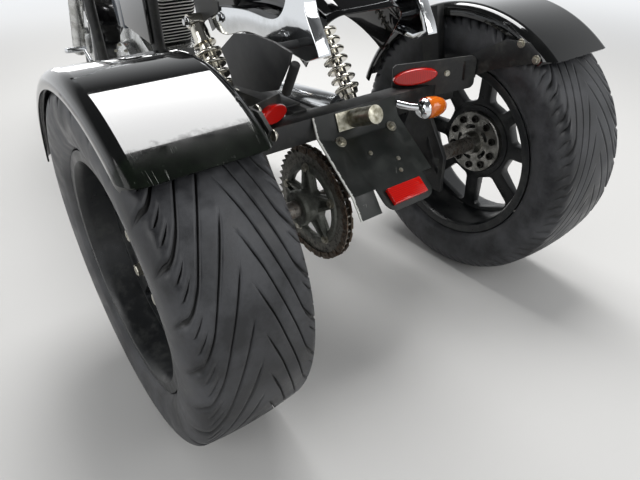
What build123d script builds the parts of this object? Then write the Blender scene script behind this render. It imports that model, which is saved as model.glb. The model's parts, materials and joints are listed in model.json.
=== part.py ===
"""Motorized trike: a small V-twin cruiser with a chain-driven two-wheel rear axle.

X points to the rider's right, Y forward and Z up, in millimetres. The model is laid out with
Y = 0 at the rear axle and moved at the end so that the origin is on the ground at the middle
of the vehicle's length.
"""
from build123d import *
from math import asin, atan2, cos, degrees, hypot, pi, radians, sin, tan
import os

os.makedirs("parts", exist_ok=True)

# Wheels and tyres
WHEELBASE = 1650.0
TRACK = 802.0
REAR_TYRE_RADIUS = 307.5
REAR_TYRE_WIDTH = 201.0
REAR_FLANGE_RADIUS = 209.0
REAR_RIM_WIDTH = 174.0
REAR_SEAT_RADIUS = 195.0
REAR_BARREL_WALL = 9.0
REAR_DISC_OFFSET = 4.3
REAR_DISC_THICKNESS = 26.0
SPOKES = 8
SPOKE_WIDTH = 36.0
WHEEL_PAD_RADIUS = 88.0
WINDOW_CORNER = 13.0
FRONT_TYRE_RADIUS = 305.0
FRONT_TYRE_WIDTH = 110.0
FRONT_FLANGE_RADIUS = 225.0
FRONT_RIM_WIDTH = 76.0
SEAT_GAP = 0.3

# Rear axle, hub adapters and chain drive
SHAFT_RADIUS = 17.5
BEARING_CLEARANCE = 0.05
ADAPTER_RADIUS = 75.6
ADAPTER_THICKNESS = 14.0
SLOT_RADIUS = 40.0
SLOT_WIDTH = 10.0
BEARING_LENGTH = 36.0
BEARING_RADIUS = 40.0
CHAIN_X = -98.0
CHAIN_PITCH = 15.875
CHAIN_INNER_HALF = 4.2
STRIP_HALF = 5.8
LINK_WALL = 1.8
ROLLER_RADIUS = 5.1
LINK_OUTLINE = ((-14.4, 0), (-11, -6.8), (11, -6.8), (14.4, 0), (11, 6.8), (-11, 6.8))
TOOTH_GAP = ((-6.9, 3.8), (-5.9, -1.0), (-2.6, -5.7), (2.6, -5.7), (5.9, -1.0), (6.9, 3.8))
CHAIN_CLEARANCE = 1.0
SPROCKET_BORE = 84.0
CARRIER_DEPTH = 34.0
SPROCKET_TEETH = 44
DRIVE_TEETH = 14
SPROCKET_THICKNESS = 7.0
DRIVE_Y = WHEELBASE - 850
DRIVE_Z = 335.0

# Steering and fork
RAKE = 32.0
FORK_OFFSET = 45.0
LEG_X = 92.0
LEG_RADIUS = 26.0
STANCHION_RADIUS = 18.0
SLIDER_TOP = 345.0
LOWER_CLAMP_S = 560.0
UPPER_CLAMP_S = 748.0
STEER_AT_REST = 12.0
HEAD_RADIUS = 30.0
TUBES_BEHIND_STEM = 10.0
STEM_RADIUS = 14.0

# Engine
CRANK_Y = WHEELBASE - 700
CRANK_Z = 385.0
CYLINDER_ANGLE = 30.0
CASE_WIDTH = 170.0
CASE_BOTTOM = 262.0
CRADLE_Z = 236.0
BARREL_START = 120.0
BARREL_LENGTH = 110.0
HEAD_LENGTH = 80.0
FIN_WIDTH = 130.0
FIN_PITCH = 11.0
FIN_THICKNESS = 4.0
INTAKE_RISE = 215.0
COVER_DEPTH = 36.0
COVER_POCKET = 50.0
COVER_CORNERS = ((-30, -60), (20, -60), (70, -40), (90, 10), (70, 60), (-10, 62), (-40, 50), (-40, -50))
COVER_OUTLINE = tuple((DRIVE_Y + y, DRIVE_Z + z) for y, z in COVER_CORNERS)

# Rear fenders
FENDER_RADIUS = 333.0
FENDER_SKIRT = 26.0
FENDER_HALF = 102.0
FENDER_DROP = 6.0
FENDER_WALL = 3.0
FENDER_CORNER = 21.0
FENDER_END_CORNER = 24.0
FENDER_REAR_ANGLE = 40.5
FENDER_FRONT_ANGLE = 69.0
FENDER_INNER_X = TRACK / 2 - FENDER_HALF
BRACKET_WALL = 6.0

# Crossbeam, panel and rear frame
BEAM_REAR_Y = -8.0
BEAM_DEPTH = 40.0
BEAM_TOP = 486.0
BEAM_HEIGHT = 44.0
BEAM_HALF = FENDER_INNER_X - 14
PANEL_HALF = 101.0
PANEL_WALL = 3.0
PANEL_LINE = ((BEAM_REAR_Y - SEAT_GAP, BEAM_TOP), (-22, 449), (-124, 370), (-150, 334))
PANEL_HOLE = 3.5
PANEL_HOLE_X = (-58, 69)
PANEL_HOLE_DOWN = 20.0
PANEL_FLANGE_HALF = 50.0
TONGUE = (-45, 75)
TONGUE_LENGTH = 52.0
RAIL_X = 185.0
RAIL_WIDTH = 30.0
RAIL_HEIGHT = 42.0
RAIL_REAR_Y = 46.0
PIVOT_Y = WHEELBASE - 1050
PIVOT_Z = 306.0
PIVOT_RADIUS = 12.0
PLATE_WALL = 10.0
FRAME_TUBE = 16.0
CRADLE_X = 135.0
SADDLE_TUBE = 24.0
GUARD_X = 178.0
GUARD_HALF = 20.0
STRUT_X = 122.0
STRUT_WIDTH = 24.0
SHORT_FENDER_HALF = 92.0
SHORT_FENDER_TOP = 735.0
TAB_WALL = 3.4
SHOCK_TAB = ((240, 640), (296, 616), (310, 611), (322, 601), (340, 604), (352, 690), (290, 668), (240, 655))
SHOCK_X = 150.0
SHOCK_EYE_HALF = 17.0
DAMPER_RADIUS = 14.0
SPRING_RADIUS = 30.0
SPRING_WIRE = 9.0
SPRING_START = 56.0
SPRING_PITCH = 23.0
SPRING_TURNS = 7
STRUT_TOP = 706.0
SISSY_Y = -18.0
# The strut's outline as (Y, Z): its lower edge, its upper edge up the fork, and its rear edge.
STRUT_EDGE = (((-43, 597), (20, 606), (98, 615), (160, 613), (225, 597), (262, 600), (286, 628)),
              ((262, 646), (200, 650), (127, 653), (80, 650), (34, 656), (12, 680), (8, STRUT_TOP)),
              ((-40, STRUT_TOP), (-45, 672), (-64, 640), (-78, 611)))
# The hollow in its inner side, as (Y, Z), about 8 mm inside those edges.
STRUT_HOLLOW = ((-40, 606), (18, 614), (98, 623), (162, 621), (226, 606), (258, 609), (275, 627), (258, 637),
                (200, 641), (127, 644), (78, 641), (30, 648), (4, 678), (0, 698), (-32, 698), (-37, 670),
                (-55, 638), (-66, 616))

AXLE_Z = REAR_TYRE_RADIUS
PITCH_RADIUS = CHAIN_PITCH / (2 * sin(pi / SPROCKET_TEETH))
DRIVE_RADIUS = CHAIN_PITCH / (2 * sin(pi / DRIVE_TEETH))
UP = radians(RAKE)
MARKER_INNER = (140, 38, 488)
MARKER_ALONG = (cos(radians(-32)), sin(radians(-32)), 0)
SADDLE_START = (0, WHEELBASE - 418, 866)
SADDLE_END = (0, PIVOT_Y - 60, 713)
BAR_RADIUS = 12.5
LAMP_RADIUS = 88.0
CLAMP_BOSS = 31.0
DISC_X = -53.0
DISC_RADIUS = 138.0
CALIPER_HALF = 20.0
# Rows of a loft from the front: Y, half width, bottom and top.
TANK_ROWS = ((WHEELBASE - 502, 58, 838, 922), (WHEELBASE - 620, 125, 800, 945),
             (WHEELBASE - 905, 70, 790, 880))
RIDER_ROWS = ((PIVOT_Y + 115, 60, 776.7, 815), (PIVOT_Y, 130, 762, 818), (PIVOT_Y - 168, 150, 770, 870))
PILLION_ROWS = ((PIVOT_Y - 172, 95, 770, 850), (PIVOT_Y / 2 - 40, 105, 739.8, 835), (100, 90, 736, 815))


def block(x, y, z):
    """A box from three (low, high) pairs."""
    size = (x[1] - x[0], y[1] - y[0], z[1] - z[0])
    return Pos((x[0] + x[1]) / 2, (y[0] + y[1]) / 2, (z[0] + z[1]) / 2) * Box(*size)


def rod(start, end, radius):
    """A round bar from one point to another."""
    start, end = Vector(*start), Vector(*end)
    length = (end - start).length
    on_axis = (Align.CENTER, Align.CENTER, Align.MIN)
    return Plane(origin=start, z_dir=end - start) * Cylinder(radius, length, align=on_axis)


def tube(points, radius, bend):
    """A round tube along straight runs joined by bends of one radius."""
    path = FilletPolyline(*points, radius=bend)
    return sweep(Plane(origin=path @ 0, z_dir=path % 0) * Circle(radius), path=path)


def spin(points, x, y, z):
    """A ring about the X direction from an outline of (along X, radius) points."""
    ring = revolve(make_face(Polyline(*points, close=True)), Axis.X, 360)
    return Pos(x, y, z) * ring


def band_section(half, radius, depth, wall, corner):
    """The section of a crowned band with a skirt down each side, as (across, radius)."""
    outer = Pos(0, radius - depth / 2) * Rectangle(2 * half, depth)
    outer = fillet(outer.vertices().group_by(Axis.Y)[-1], corner)
    inner = Pos(0, radius - wall - depth / 2) * Rectangle(2 * (half - wall), depth)
    return outer - fillet(inner.vertices().group_by(Axis.Y)[-1], corner - wall)


def collar(start, end, low, high):
    """A plain ring's outline for spin: from start to end along X, between two radii."""
    return [(start, low), (start, high), (end, high), (end, low)]


def spin_parts(outlines, x, y, z):
    """Several rings about the X direction, each from its own outline, as one solid."""
    rings = [spin(outline, x, y, z) for outline in outlines]
    return rings[0] + rings[1:]


def side_plate(points, x, thickness):
    """A plate of the given (Y, Z) outline, from x to x + thickness."""
    outline = make_face(Polyline(*points, close=True))
    return Pos(x, 0, 0) * extrude(Plane.YZ * outline, thickness)


def mirrored(shape):
    return mirror(shape, about=Plane.YZ)


def on_axis(s, x=0.0, ahead=0.0):
    """A point s up the steering axis from the front axle's height, x to the right."""
    y = WHEELBASE - (FORK_OFFSET - ahead) * cos(UP) - s * sin(UP)
    z = FRONT_TYRE_RADIUS - (FORK_OFFSET - ahead) * sin(UP) + s * cos(UP)
    return (x, y, z)


def tyre(radius, width, flange_radius, rim_width, bore, tread):
    """A closed tyre ring: bead, bulging sidewall, rounded shoulder and crowned tread."""
    half = width / 2
    bead = rim_width / 2 - 6
    side = (flange_radius + radius) / 2
    crown = tread / 2
    edge = radius - (half - crown) * 0.22
    top = flange_radius + 1
    right = [
        Line((bead, bore), (bead, top)),
        ThreePointArc((bead, top), (half, side), (crown, edge)),
        ThreePointArc((crown, edge), (0, radius), (-crown, edge)),
        ThreePointArc((-crown, edge), (-half, side), (-bead, top)),
        Line((-bead, top), (-bead, bore)),
        Line((-bead, bore), (bead, bore)),
    ]
    return revolve(make_face(right), Axis.X, 360)


def rear_tyre():
    return tyre(REAR_TYRE_RADIUS, REAR_TYRE_WIDTH, REAR_FLANGE_RADIUS, REAR_RIM_WIDTH,
                REAR_SEAT_RADIUS + SEAT_GAP, REAR_TYRE_WIDTH * 0.78)


def rear_wheel():
    """Deep barrel with two flanges and a disc whose eight windows leave eight spokes."""
    half = REAR_RIM_WIDTH / 2
    inner = REAR_SEAT_RADIUS - REAR_BARREL_WALL
    lip = 5.0
    bore = SHAFT_RADIUS + SEAT_GAP
    barrel = spin([(-half, inner + 6), (-half, REAR_FLANGE_RADIUS), (-half + lip, REAR_FLANGE_RADIUS),
                   (-half + lip, REAR_SEAT_RADIUS), (half - lip, REAR_SEAT_RADIUS),
                   (half - lip, REAR_FLANGE_RADIUS), (half, REAR_FLANGE_RADIUS), (half, inner + 6),
                   (half - 14, inner), (-half + 14, inner)], 0, 0, 0)
    near = REAR_DISC_OFFSET
    far = REAR_DISC_OFFSET + REAR_DISC_THICKNESS
    disc = spin([(near, bore), (near, WHEEL_PAD_RADIUS), (near + 5, WHEEL_PAD_RADIUS), (near + 9, inner + 2),
                 (far, inner + 2), (far + 6, WHEEL_PAD_RADIUS), (far + 6, bore)], 0, 0, 0)
    low, high = WHEEL_PAD_RADIUS + 8, inner - 10
    spread = tan(pi / SPOKES)
    near_half = low * spread - SPOKE_WIDTH / 2
    far_half = high * spread - SPOKE_WIDTH / 2
    window = Polyline((low, -near_half), (high, -far_half), (high, far_half), (low, near_half), close=True)
    cutter = extrude(Plane.YZ * fillet(make_face(window).vertices(), WINDOW_CORNER), 80)
    for i in range(SPOKES):
        disc -= Rot(360 / SPOKES * (i + 0.5), 0, 0) * cutter
    return barrel + disc - hub_slots()


def hub_slots():
    """Five curved slots through the wheel's pad and the adapter, as one cutter."""
    slots = [SlotArc(CenterArc((0, 0), SLOT_RADIUS, 72 * i - 14, 28), SLOT_WIDTH) for i in range(5)]
    return extrude(Plane.YZ * Sketch(children=slots), 80, both=True)


def hub_adapter():
    """Machined disc with a boss, ten holes and five curved slots, its face towards the middle."""
    face = -ADAPTER_THICKNESS
    bore = SHAFT_RADIUS + SEAT_GAP
    disc = spin([(face, bore), (face, ADAPTER_RADIUS - 2), (face + 2, ADAPTER_RADIUS), (0, ADAPTER_RADIUS),
                 (0, bore)], 0, 0, 0)
    disc += spin([(face - 22, bore), (face - 22, SHAFT_RADIUS + 7), (face, SHAFT_RADIUS + 11), (face, bore)],
                 0, 0, 0)
    for i in range(10):
        disc -= Rot(36 * i, 0, 0) * Pos(0, 0, 59) * Rot(0, 90, 0) * Cylinder(6, 60)
    return disc - hub_slots()


def fender():
    """One rear fender about its axle: a crowned band, its rear corners rounded off."""
    section = band_section(FENDER_HALF, FENDER_RADIUS, FENDER_SKIRT, FENDER_WALL, FENDER_CORNER)
    band = revolve(Plane.XY * section, Axis.X, FENDER_REAR_ANGLE + FENDER_FRONT_ANGLE)
    band = Rot(90 - FENDER_FRONT_ANGLE, 0, 0) * band
    size, height = FENDER_END_CORNER, 90
    for side in (1, -1):
        corner = Pos(side * (size + 1) / 2, -(size + 1) / 2) * Box(size + 1, size + 1, height)
        corner -= Cylinder(size, height)
        place = Pos(side * (FENDER_HALF - size), size, FENDER_RADIUS - FENDER_SKIRT)
        band -= Rot(FENDER_REAR_ANGLE, 0, 0) * place * corner
    return band


def loop_profile(extra):
    """The chain's loop in side view, grown by extra from its pitch line, as (Y, Z) outline."""
    big, small = PITCH_RADIUS + extra, DRIVE_RADIUS + extra
    run = hypot(DRIVE_Y, DRIVE_Z - AXLE_Z)
    lean = atan2(DRIVE_Z - AXLE_Z, DRIVE_Y)
    open_angle = asin((PITCH_RADIUS - DRIVE_RADIUS) / run)
    top = lean + pi / 2 - open_angle
    bottom = lean - pi / 2 + open_angle

    def at(centre_y, centre_z, radius, angle):
        return (centre_y + radius * cos(angle), centre_z + radius * sin(angle))

    a, b = at(0, AXLE_Z, big, top), at(0, AXLE_Z, big, bottom)
    c, d = at(DRIVE_Y, DRIVE_Z, small, bottom), at(DRIVE_Y, DRIVE_Z, small, top)
    rear = at(0, AXLE_Z, big, lean + pi)
    front = at(DRIVE_Y, DRIVE_Z, small, lean)
    return make_face([ThreePointArc(a, rear, b), Line(b, c), ThreePointArc(c, front, d), Line(d, a)])


def roller_places():
    """The rollers' centres round the chain's loop as (Y, Z), seated between the sprocket's teeth."""
    run = hypot(DRIVE_Y, DRIVE_Z - AXLE_Z)
    lean = atan2(DRIVE_Z - AXLE_Z, DRIVE_Y)
    half_wrap = pi / 2 + asin((PITCH_RADIUS - DRIVE_RADIUS) / run)

    def seats(y, z, radius, teeth, middle, half_angle):
        step = 2 * pi / teeth
        count = int(half_angle / step)
        angles = [middle + k * step for k in range(-count, count + 1)]
        return [Vector(y + radius * cos(a), z + radius * sin(a)) for a in angles]

    def straight(start, end):
        count = round((end - start).length / CHAIN_PITCH)
        return [start + (end - start) * (i / count) for i in range(1, count)]

    rear = seats(0, AXLE_Z, PITCH_RADIUS, SPROCKET_TEETH, lean + pi, half_wrap)
    front = seats(DRIVE_Y, DRIVE_Z, DRIVE_RADIUS, DRIVE_TEETH, lean, pi - half_wrap)
    places = rear + straight(rear[-1], front[0]) + front + straight(front[-1], rear[0])
    return [(place.X, place.Y) for place in places]


def chain():
    """Two strips of inner plates, outer plates at each second link, and a roller at each pitch.

    The teeth of the turning sprocket need the rollers' places, so no roller lies within their reach.
    """
    strip = loop_profile(STRIP_HALF) - loop_profile(-STRIP_HALF)
    parts = [Pos(CHAIN_X + x, 0, 0) * extrude(Plane.YZ * strip, LINK_WALL)
             for x in (CHAIN_INNER_HALF, -CHAIN_INNER_HALF - LINK_WALL)]
    places = roller_places()
    reach = PITCH_RADIUS + TOOTH_GAP[0][1] + ROLLER_RADIUS + CHAIN_CLEARANCE
    for y, z in places:
        if hypot(y, z - AXLE_Z) > reach:
            parts.append(Pos(CHAIN_X, y, z) * Rot(0, 90, 0) * Cylinder(ROLLER_RADIUS, 2 * CHAIN_INNER_HALF + 1))
    outline = make_face(Polyline(*LINK_OUTLINE, close=True))
    for (y0, z0), (y1, z1) in zip(places[::2], places[1::2]):
        turn = degrees(atan2(z1 - z0, y1 - y0))
        for x in (CHAIN_INNER_HALF + LINK_WALL, -CHAIN_INNER_HALF - 2 * LINK_WALL):
            link = Pos(CHAIN_X + x, (y0 + y1) / 2, (z0 + z1) / 2) * Rot(turn, 0, 0)
            parts.append(link * extrude(Plane.YZ * outline, LINK_WALL))
    return parts[0] + parts[1:]


def sprocket():
    """Toothed ring: between two teeth there is a seat wide enough for a roller."""
    first = atan2(DRIVE_Z - AXLE_Z, DRIVE_Y) + pi
    outline = []
    for k in range(SPROCKET_TEETH):
        a = first + k * 2 * pi / SPROCKET_TEETH
        for across, out in TOOTH_GAP:
            r = PITCH_RADIUS + out
            outline.append((r * cos(a) - across * sin(a), r * sin(a) + across * cos(a)))
    ring = make_face(Polyline(*outline, close=True)) - Circle(SPROCKET_BORE)
    return Pos(CHAIN_X - SPROCKET_THICKNESS / 2, 0, AXLE_Z) * extrude(Plane.YZ * ring, SPROCKET_THICKNESS)


def sprocket_carrier():
    """Cast hub with a flared boss and five arms, each a web with two ribs, inside the toothed ring."""
    bore = SHAFT_RADIUS + SEAT_GAP
    half = SPROCKET_THICKNESS / 2
    edge = SPROCKET_BORE - SEAT_GAP
    body = spin_parts([[(half, bore), (half, 38), (-14, 33), (-CARRIER_DEPTH, 37), (-CARRIER_DEPTH - 6, 34),
                        (-CARRIER_DEPTH - 6, bore)],
                       [(-half - 4, 70), (-half - 4, edge - 3), (-half, edge), (half, edge), (half, 70)]],
                      0, 0, 0)
    web = make_face(Polyline((28, -18), (76, -11), (76, 11), (28, 18), close=True))
    rib = make_face(Polyline((30, 9), (74, 5), (74, 9), (30, 17), close=True))
    for i in range(5):
        turn = Rot(72 * i + 12, 0, 0)
        body += turn * Pos(-half, 0, 0) * extrude(Plane.YZ * web, 2 * half)
        for side in (1, -1):
            flat = rib if side > 0 else mirror(rib, about=Plane.XZ)
            body += turn * Pos(-half - 9, 0, 0) * extrude(Plane.YZ * flat, 10)
    return Pos(CHAIN_X, 0, AXLE_Z) * body


def shock(x):
    """Damper with its top cover, lower seat, eyes at both ends and the spring's turns round it."""
    top, bottom = Vector(x, 325, 612), Vector(x, 161, 396)
    length = (bottom - top).length
    outline = [Polyline((0, 12.5), (16, 12.5), (18, 30), (18, SPRING_START - 8), (24, SPRING_START - 6),
                        (24, SPRING_START - 2), (DAMPER_RADIUS, SPRING_START))]
    inside = SPRING_RADIUS - SPRING_WIRE / 2
    s = SPRING_START
    for i in range(SPRING_TURNS):
        low, high = s + SPRING_PITCH - SPRING_WIRE, s + SPRING_PITCH
        outline.append(Polyline((DAMPER_RADIUS, s), (DAMPER_RADIUS, low), (inside, low)))
        outline.append(ThreePointArc((inside, low), (SPRING_RADIUS, (low + high) / 2), (inside, high)))
        outline.append(Line((inside, high), (DAMPER_RADIUS, high)))
        s = high
    outline.append(Polyline((DAMPER_RADIUS, s), (DAMPER_RADIUS, s + 3), (24, s + 3), (22, s + 12),
                            (15, s + 14), (13, length - 8), (0, length - 8), (0, 12.5)))
    down = Location(Plane(origin=top, x_dir=(1, 0, 0), z_dir=bottom - top))
    unit = down * revolve(Plane.XZ * make_face(outline), Axis.Z, 360)
    near = STRUT_X + STRUT_WIDTH / 2 + TAB_WALL + 2 * SEAT_GAP
    unit += rod((near, top.Y, top.Z), (x + SHOCK_EYE_HALF, top.Y, top.Z), 14)
    return unit + rod((x - SHOCK_EYE_HALF, bottom.Y, bottom.Z), (x + SHOCK_EYE_HALF, bottom.Y, bottom.Z), 14)


def cylinder(lean):
    """A finned barrel and head with its rocker cover and side port, leaning forward by an angle."""
    total = BARREL_LENGTH + HEAD_LENGTH
    body = Pos(0, 0, BARREL_START + total / 2) * Cylinder(44, total)
    fin = extrude(fillet(Rectangle(FIN_WIDTH, FIN_WIDTH).vertices(), 24), FIN_THICKNESS)
    for i in range(int((total - 25) / FIN_PITCH)):
        body += Pos(0, 0, BARREL_START + 8 + i * FIN_PITCH) * fin
    cover = extrude(fillet(Rectangle(104, 92).vertices(), 26), 30, taper=12)
    body += Pos(0, 0, BARREL_START + total - 13) * fillet(cover.edges().group_by(Axis.Z)[-1], 6)
    port_z = BARREL_START + BARREL_LENGTH + HEAD_LENGTH / 2
    body += rod((0, 0, port_z), (FIN_WIDTH / 2 - SEAT_GAP, 0, port_z), 24)
    return Pos(0, CRANK_Y, CRANK_Z) * Rot(-lean, 0, 0) * body


def engine_case():
    """Crankcase with round side covers, and an open cover over the drive sprocket."""
    half = CASE_WIDTH / 2
    lean = radians(CYLINDER_ANGLE)
    seat_y, seat_z = BARREL_START * sin(lean), BARREL_START * cos(lean)
    face = [(seat_y + s * cos(lean), seat_z - s * sin(lean)) for s in (FIN_WIDTH / 2 - 3, 3 - FIN_WIDTH / 2)]
    top = [(CRANK_Y + y, CRANK_Z + z) for y, z in face] + [(CRANK_Y - y, CRANK_Z + z) for y, z in face[::-1]]
    rear, front = CRANK_Y - 175, CRANK_Y + 135
    outline = [(rear, 290), (rear + 25, CASE_BOTTOM), (front - 25, CASE_BOTTOM), (front, 300), (front, 420)]
    case = side_plate(outline + top + [(rear, 430)], -half, CASE_WIDTH)
    centre_y, centre_z = CRANK_Y + 20, CRANK_Z - 15
    left_cover = [(-half - 38, 0), (-half - 38, 60), (-half - 30, 84), (-half - 10, 92), (-half - 10, 0)]
    right_cover = [(half + 8, 0), (half + 8, 96), (half + 22, 90), (half + 32, 66), (half + 34, 0)]
    middle = collar(-half - 10, half + 8, 0, 88)
    case += spin_parts([left_cover, middle, right_cover], 0, centre_y, centre_z)
    outer = side_plate(COVER_OUTLINE, -half - COVER_DEPTH, COVER_DEPTH)
    pocket = rod((-half - COVER_DEPTH + 4, DRIVE_Y, DRIVE_Z), (-half, DRIVE_Y, DRIVE_Z), COVER_POCKET)
    pocket += block((-half - COVER_DEPTH + 4, -half), (DRIVE_Y - 200, DRIVE_Y),
                    (DRIVE_Z - COVER_POCKET, DRIVE_Z + COVER_POCKET))
    return case + (outer - pocket)


def intake():
    """Carburettor between the cylinders with a stub to each head, and the round air cleaner."""
    y, z = CRANK_Y, CRANK_Z + INTAKE_RISE
    lean = radians(CYLINDER_ANGLE)
    reach = INTAKE_RISE * sin(lean) - FIN_WIDTH / 2 - SEAT_GAP
    body = rod((-24, y, z), (80, y, z), 24)
    for side in (-1, 1):
        body += rod((0, y, z), (0, y + side * reach * cos(lean), z - reach * sin(lean)), 17)
    cleaner = spin([(78, 0), (78, 64), (84, 74), (112, 74), (122, 66), (128, 40), (130, 0)], 0, y, z)
    return body + cleaner


def frame():
    """Backbone, twin downtubes and cradle, seat rails and headstock."""
    low, high = on_axis(LOWER_CLAMP_S + 22), on_axis(UPPER_CLAMP_S - 22)
    body = rod(low, high, HEAD_RADIUS) + rod(SADDLE_START, SADDLE_END, SADDLE_TUBE)
    foot = on_axis(LOWER_CLAMP_S + 50)
    rail_end = PIVOT_Y - 130
    for side in (-1, 1):
        x = CRADLE_X * side
        points = [(14 * side, foot[1] - TUBES_BEHIND_STEM, foot[2]), (x, CRANK_Y + 200, 560),
                  (x, CRANK_Y + 178, CRADLE_Z), (x, PIVOT_Y, CRADLE_Z), (x, PIVOT_Y, 700), (x, rail_end, 720)]
        body += tube(points, FRAME_TUBE, 60)
        body += rod((x, rail_end, 720), (x, 300, 672), FRAME_TUBE - 3)
        tab = side_plate(SHOCK_TAB, STRUT_X + STRUT_WIDTH / 2 + SEAT_GAP, TAB_WALL)
        body += tab if side > 0 else mirrored(tab)
        lug = block((CRADLE_X, RAIL_X - RAIL_WIDTH / 2 - SEAT_GAP), (PIVOT_Y - 24, PIVOT_Y + 24),
                    (PIVOT_Z - 24, PIVOT_Z + 24))
        body += lug if side > 0 else mirrored(lug)
    body += rod((-CRADLE_X, PIVOT_Y - 60, 709), (CRADLE_X, PIVOT_Y - 60, 709), 14)
    for y in (CRANK_Y - 110, CRANK_Y + 80):
        body += rod((-CRADLE_X, y, CRADLE_Z), (CRADLE_X, y, CRADLE_Z), FRAME_TUBE - 4)
        body += block((-60, 60), (y - 15, y + 15), (CRADLE_Z, CASE_BOTTOM - SEAT_GAP))
    body += rod((-CRADLE_X, PIVOT_Y, PIVOT_Z), (CRADLE_X, PIVOT_Y, PIVOT_Z), 22)
    body -= rod((-250, PIVOT_Y, PIVOT_Z), (250, PIVOT_Y, PIVOT_Z), PIVOT_RADIUS + BEARING_CLEARANCE)
    bore = STEM_RADIUS + SEAT_GAP
    return body - rod(on_axis(LOWER_CLAMP_S - 40), on_axis(UPPER_CLAMP_S + 40), bore)


def rear_frame():
    """Two box rails from the pivot to the axle, rising stays, the crossbeam and the pivot bolt."""
    beam_y = (BEAM_REAR_Y, BEAM_REAR_Y + BEAM_DEPTH)
    body = block((-BEAM_HALF, BEAM_HALF), beam_y, (BEAM_TOP - BEAM_HEIGHT, BEAM_TOP))
    for side in (-1, 1):
        x = (RAIL_X * side - RAIL_WIDTH / 2, RAIL_X * side + RAIL_WIDTH / 2)
        body += block(x, (RAIL_REAR_Y, PIVOT_Y + 26), (PIVOT_Z - RAIL_HEIGHT / 2, PIVOT_Z + RAIL_HEIGHT / 2))
        stay_end = (RAIL_X * side, 20, BEAM_TOP - BEAM_HEIGHT / 2)
        body += rod((RAIL_X * side, PIVOT_Y - 170, PIVOT_Z), stay_end, 13)
        ear = block((SHOCK_X + SHOCK_EYE_HALF + SEAT_GAP, RAIL_X), (149, 173), (384, 404))
        body += ear if side > 0 else mirrored(ear)
    body += rod((-RAIL_X, PIVOT_Y - 100, PIVOT_Z), (RAIL_X, PIVOT_Y - 100, PIVOT_Z), 18)
    return body + rod((-RAIL_X - 20, PIVOT_Y, PIVOT_Z), (RAIL_X + 20, PIVOT_Y, PIVOT_Z), PIVOT_RADIUS)


def axle_carrier():
    """Plate on the rail's outer face that carries the axle's bearing and the crossbeam."""
    x = RAIL_X + RAIL_WIDTH / 2 + SEAT_GAP
    under_beam = BEAM_TOP - BEAM_HEIGHT - SEAT_GAP
    outline = [(-72, 262), (150, 262), (150, 330), (62, 350), (BEAM_REAR_Y + BEAM_DEPTH, under_beam),
               (BEAM_REAR_Y, under_beam), (-72, 345)]
    plate = side_plate(outline, x, PLATE_WALL)
    plate -= side_plate([(-60, 338), (-46, 338), (-20, 380), (-20, 362), (-42, 322), (-60, 300)], x - 5, 40)
    centre = Pos(x + BEARING_LENGTH / 2, 0, AXLE_Z) * Rot(0, 90, 0)
    plate += centre * Cylinder(BEARING_RADIUS, BEARING_LENGTH)
    return plate - centre * Cylinder(SHAFT_RADIUS + BEARING_CLEARANCE, 3 * BEARING_LENGTH)


def skirt_point(angle, down):
    """A point on the fender's skirt as (Y, Z), at an angle ahead of the top and down from the crown."""
    radius = FENDER_RADIUS - down
    return (radius * sin(radians(angle)), AXLE_Z - FENDER_DROP + radius * cos(radians(angle)))


def chain_guard():
    """Folded guard over the chain's top run, bolted to the crossbeam's front face."""
    half = GUARD_HALF
    outside = side_plate([(60, 458), (430, 436), (430, 470), (60, 492)], CHAIN_X - half, 2 * half)
    inside = side_plate([(50, 450), (440, 428), (440, 467), (50, 489)], CHAIN_X - half + 3, 2 * half - 6)
    foot = block((CHAIN_X - 15, CHAIN_X + 15), (BEAM_REAR_Y + BEAM_DEPTH + SEAT_GAP, 90), (478, 489.5))
    return (outside - inside) + foot


def fender_brackets():
    """Per side: a stay up from the beam's end, a plate along the skirt and a plate for the marker."""
    x = FENDER_INNER_X - SEAT_GAP - BRACKET_WALL
    beam_front = BEAM_REAR_Y + BEAM_DEPTH + SEAT_GAP
    depth = FENDER_SKIRT + 4
    stay = [(beam_front, 445), (70, 445), skirt_point(19, depth), skirt_point(19, 4), skirt_point(10, 4),
            skirt_point(10, depth), (beam_front, 480)]
    stay = side_plate(stay, x - 14, 14 + BRACKET_WALL)
    rear = -FENDER_REAR_ANGLE + 5
    arm = [(-44, 497), (-102, 524), skirt_point(rear, depth), skirt_point(rear, 8), skirt_point(-30, 6),
           skirt_point(-22, depth), (-31, 538)]
    arm = side_plate(arm, x, BRACKET_WALL)
    low = BEAM_TOP + SEAT_GAP
    past_beam = 92
    outline = Polyline((0, low), (past_beam, low), (past_beam, low - 22), (174, low - 8), (174, low + 58),
                       (6, low + 44), (0, low + 38), close=True)
    plate = make_face(outline)
    plate = fillet(plate.vertices().sort_by(Axis.X)[-2:], 13)
    face = Plane(origin=MARKER_INNER, x_dir=MARKER_ALONG, z_dir=(MARKER_ALONG[1], -MARKER_ALONG[0], 0))
    plate = Location(face) * Pos(0, -MARKER_INNER[2]) * extrude(plate, 5)
    link_x = MARKER_INNER[0] + 170 * MARKER_ALONG[0]
    link_y = MARKER_INNER[1] + 170 * MARKER_ALONG[1]
    link = block((link_x - 22, x + BRACKET_WALL), (link_y + 2, link_y + 9), (low + 8, low + 46))
    return [stay, arm + plate + link]


def marker_lens():
    """Domed oval lens on the marker's plate."""
    face = Plane(origin=MARKER_INNER, x_dir=MARKER_ALONG, z_dir=(MARKER_ALONG[1], -MARKER_ALONG[0], 0))
    dome = extrude(Ellipse(46, 16), 12)
    dome = fillet(dome.edges().group_by(Axis.Z)[-1], 4)
    return Location(face) * Pos(46, BEAM_TOP + 21 - MARKER_INNER[2], 5 + SEAT_GAP) * Rot(0, 0, 8) * dome


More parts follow.
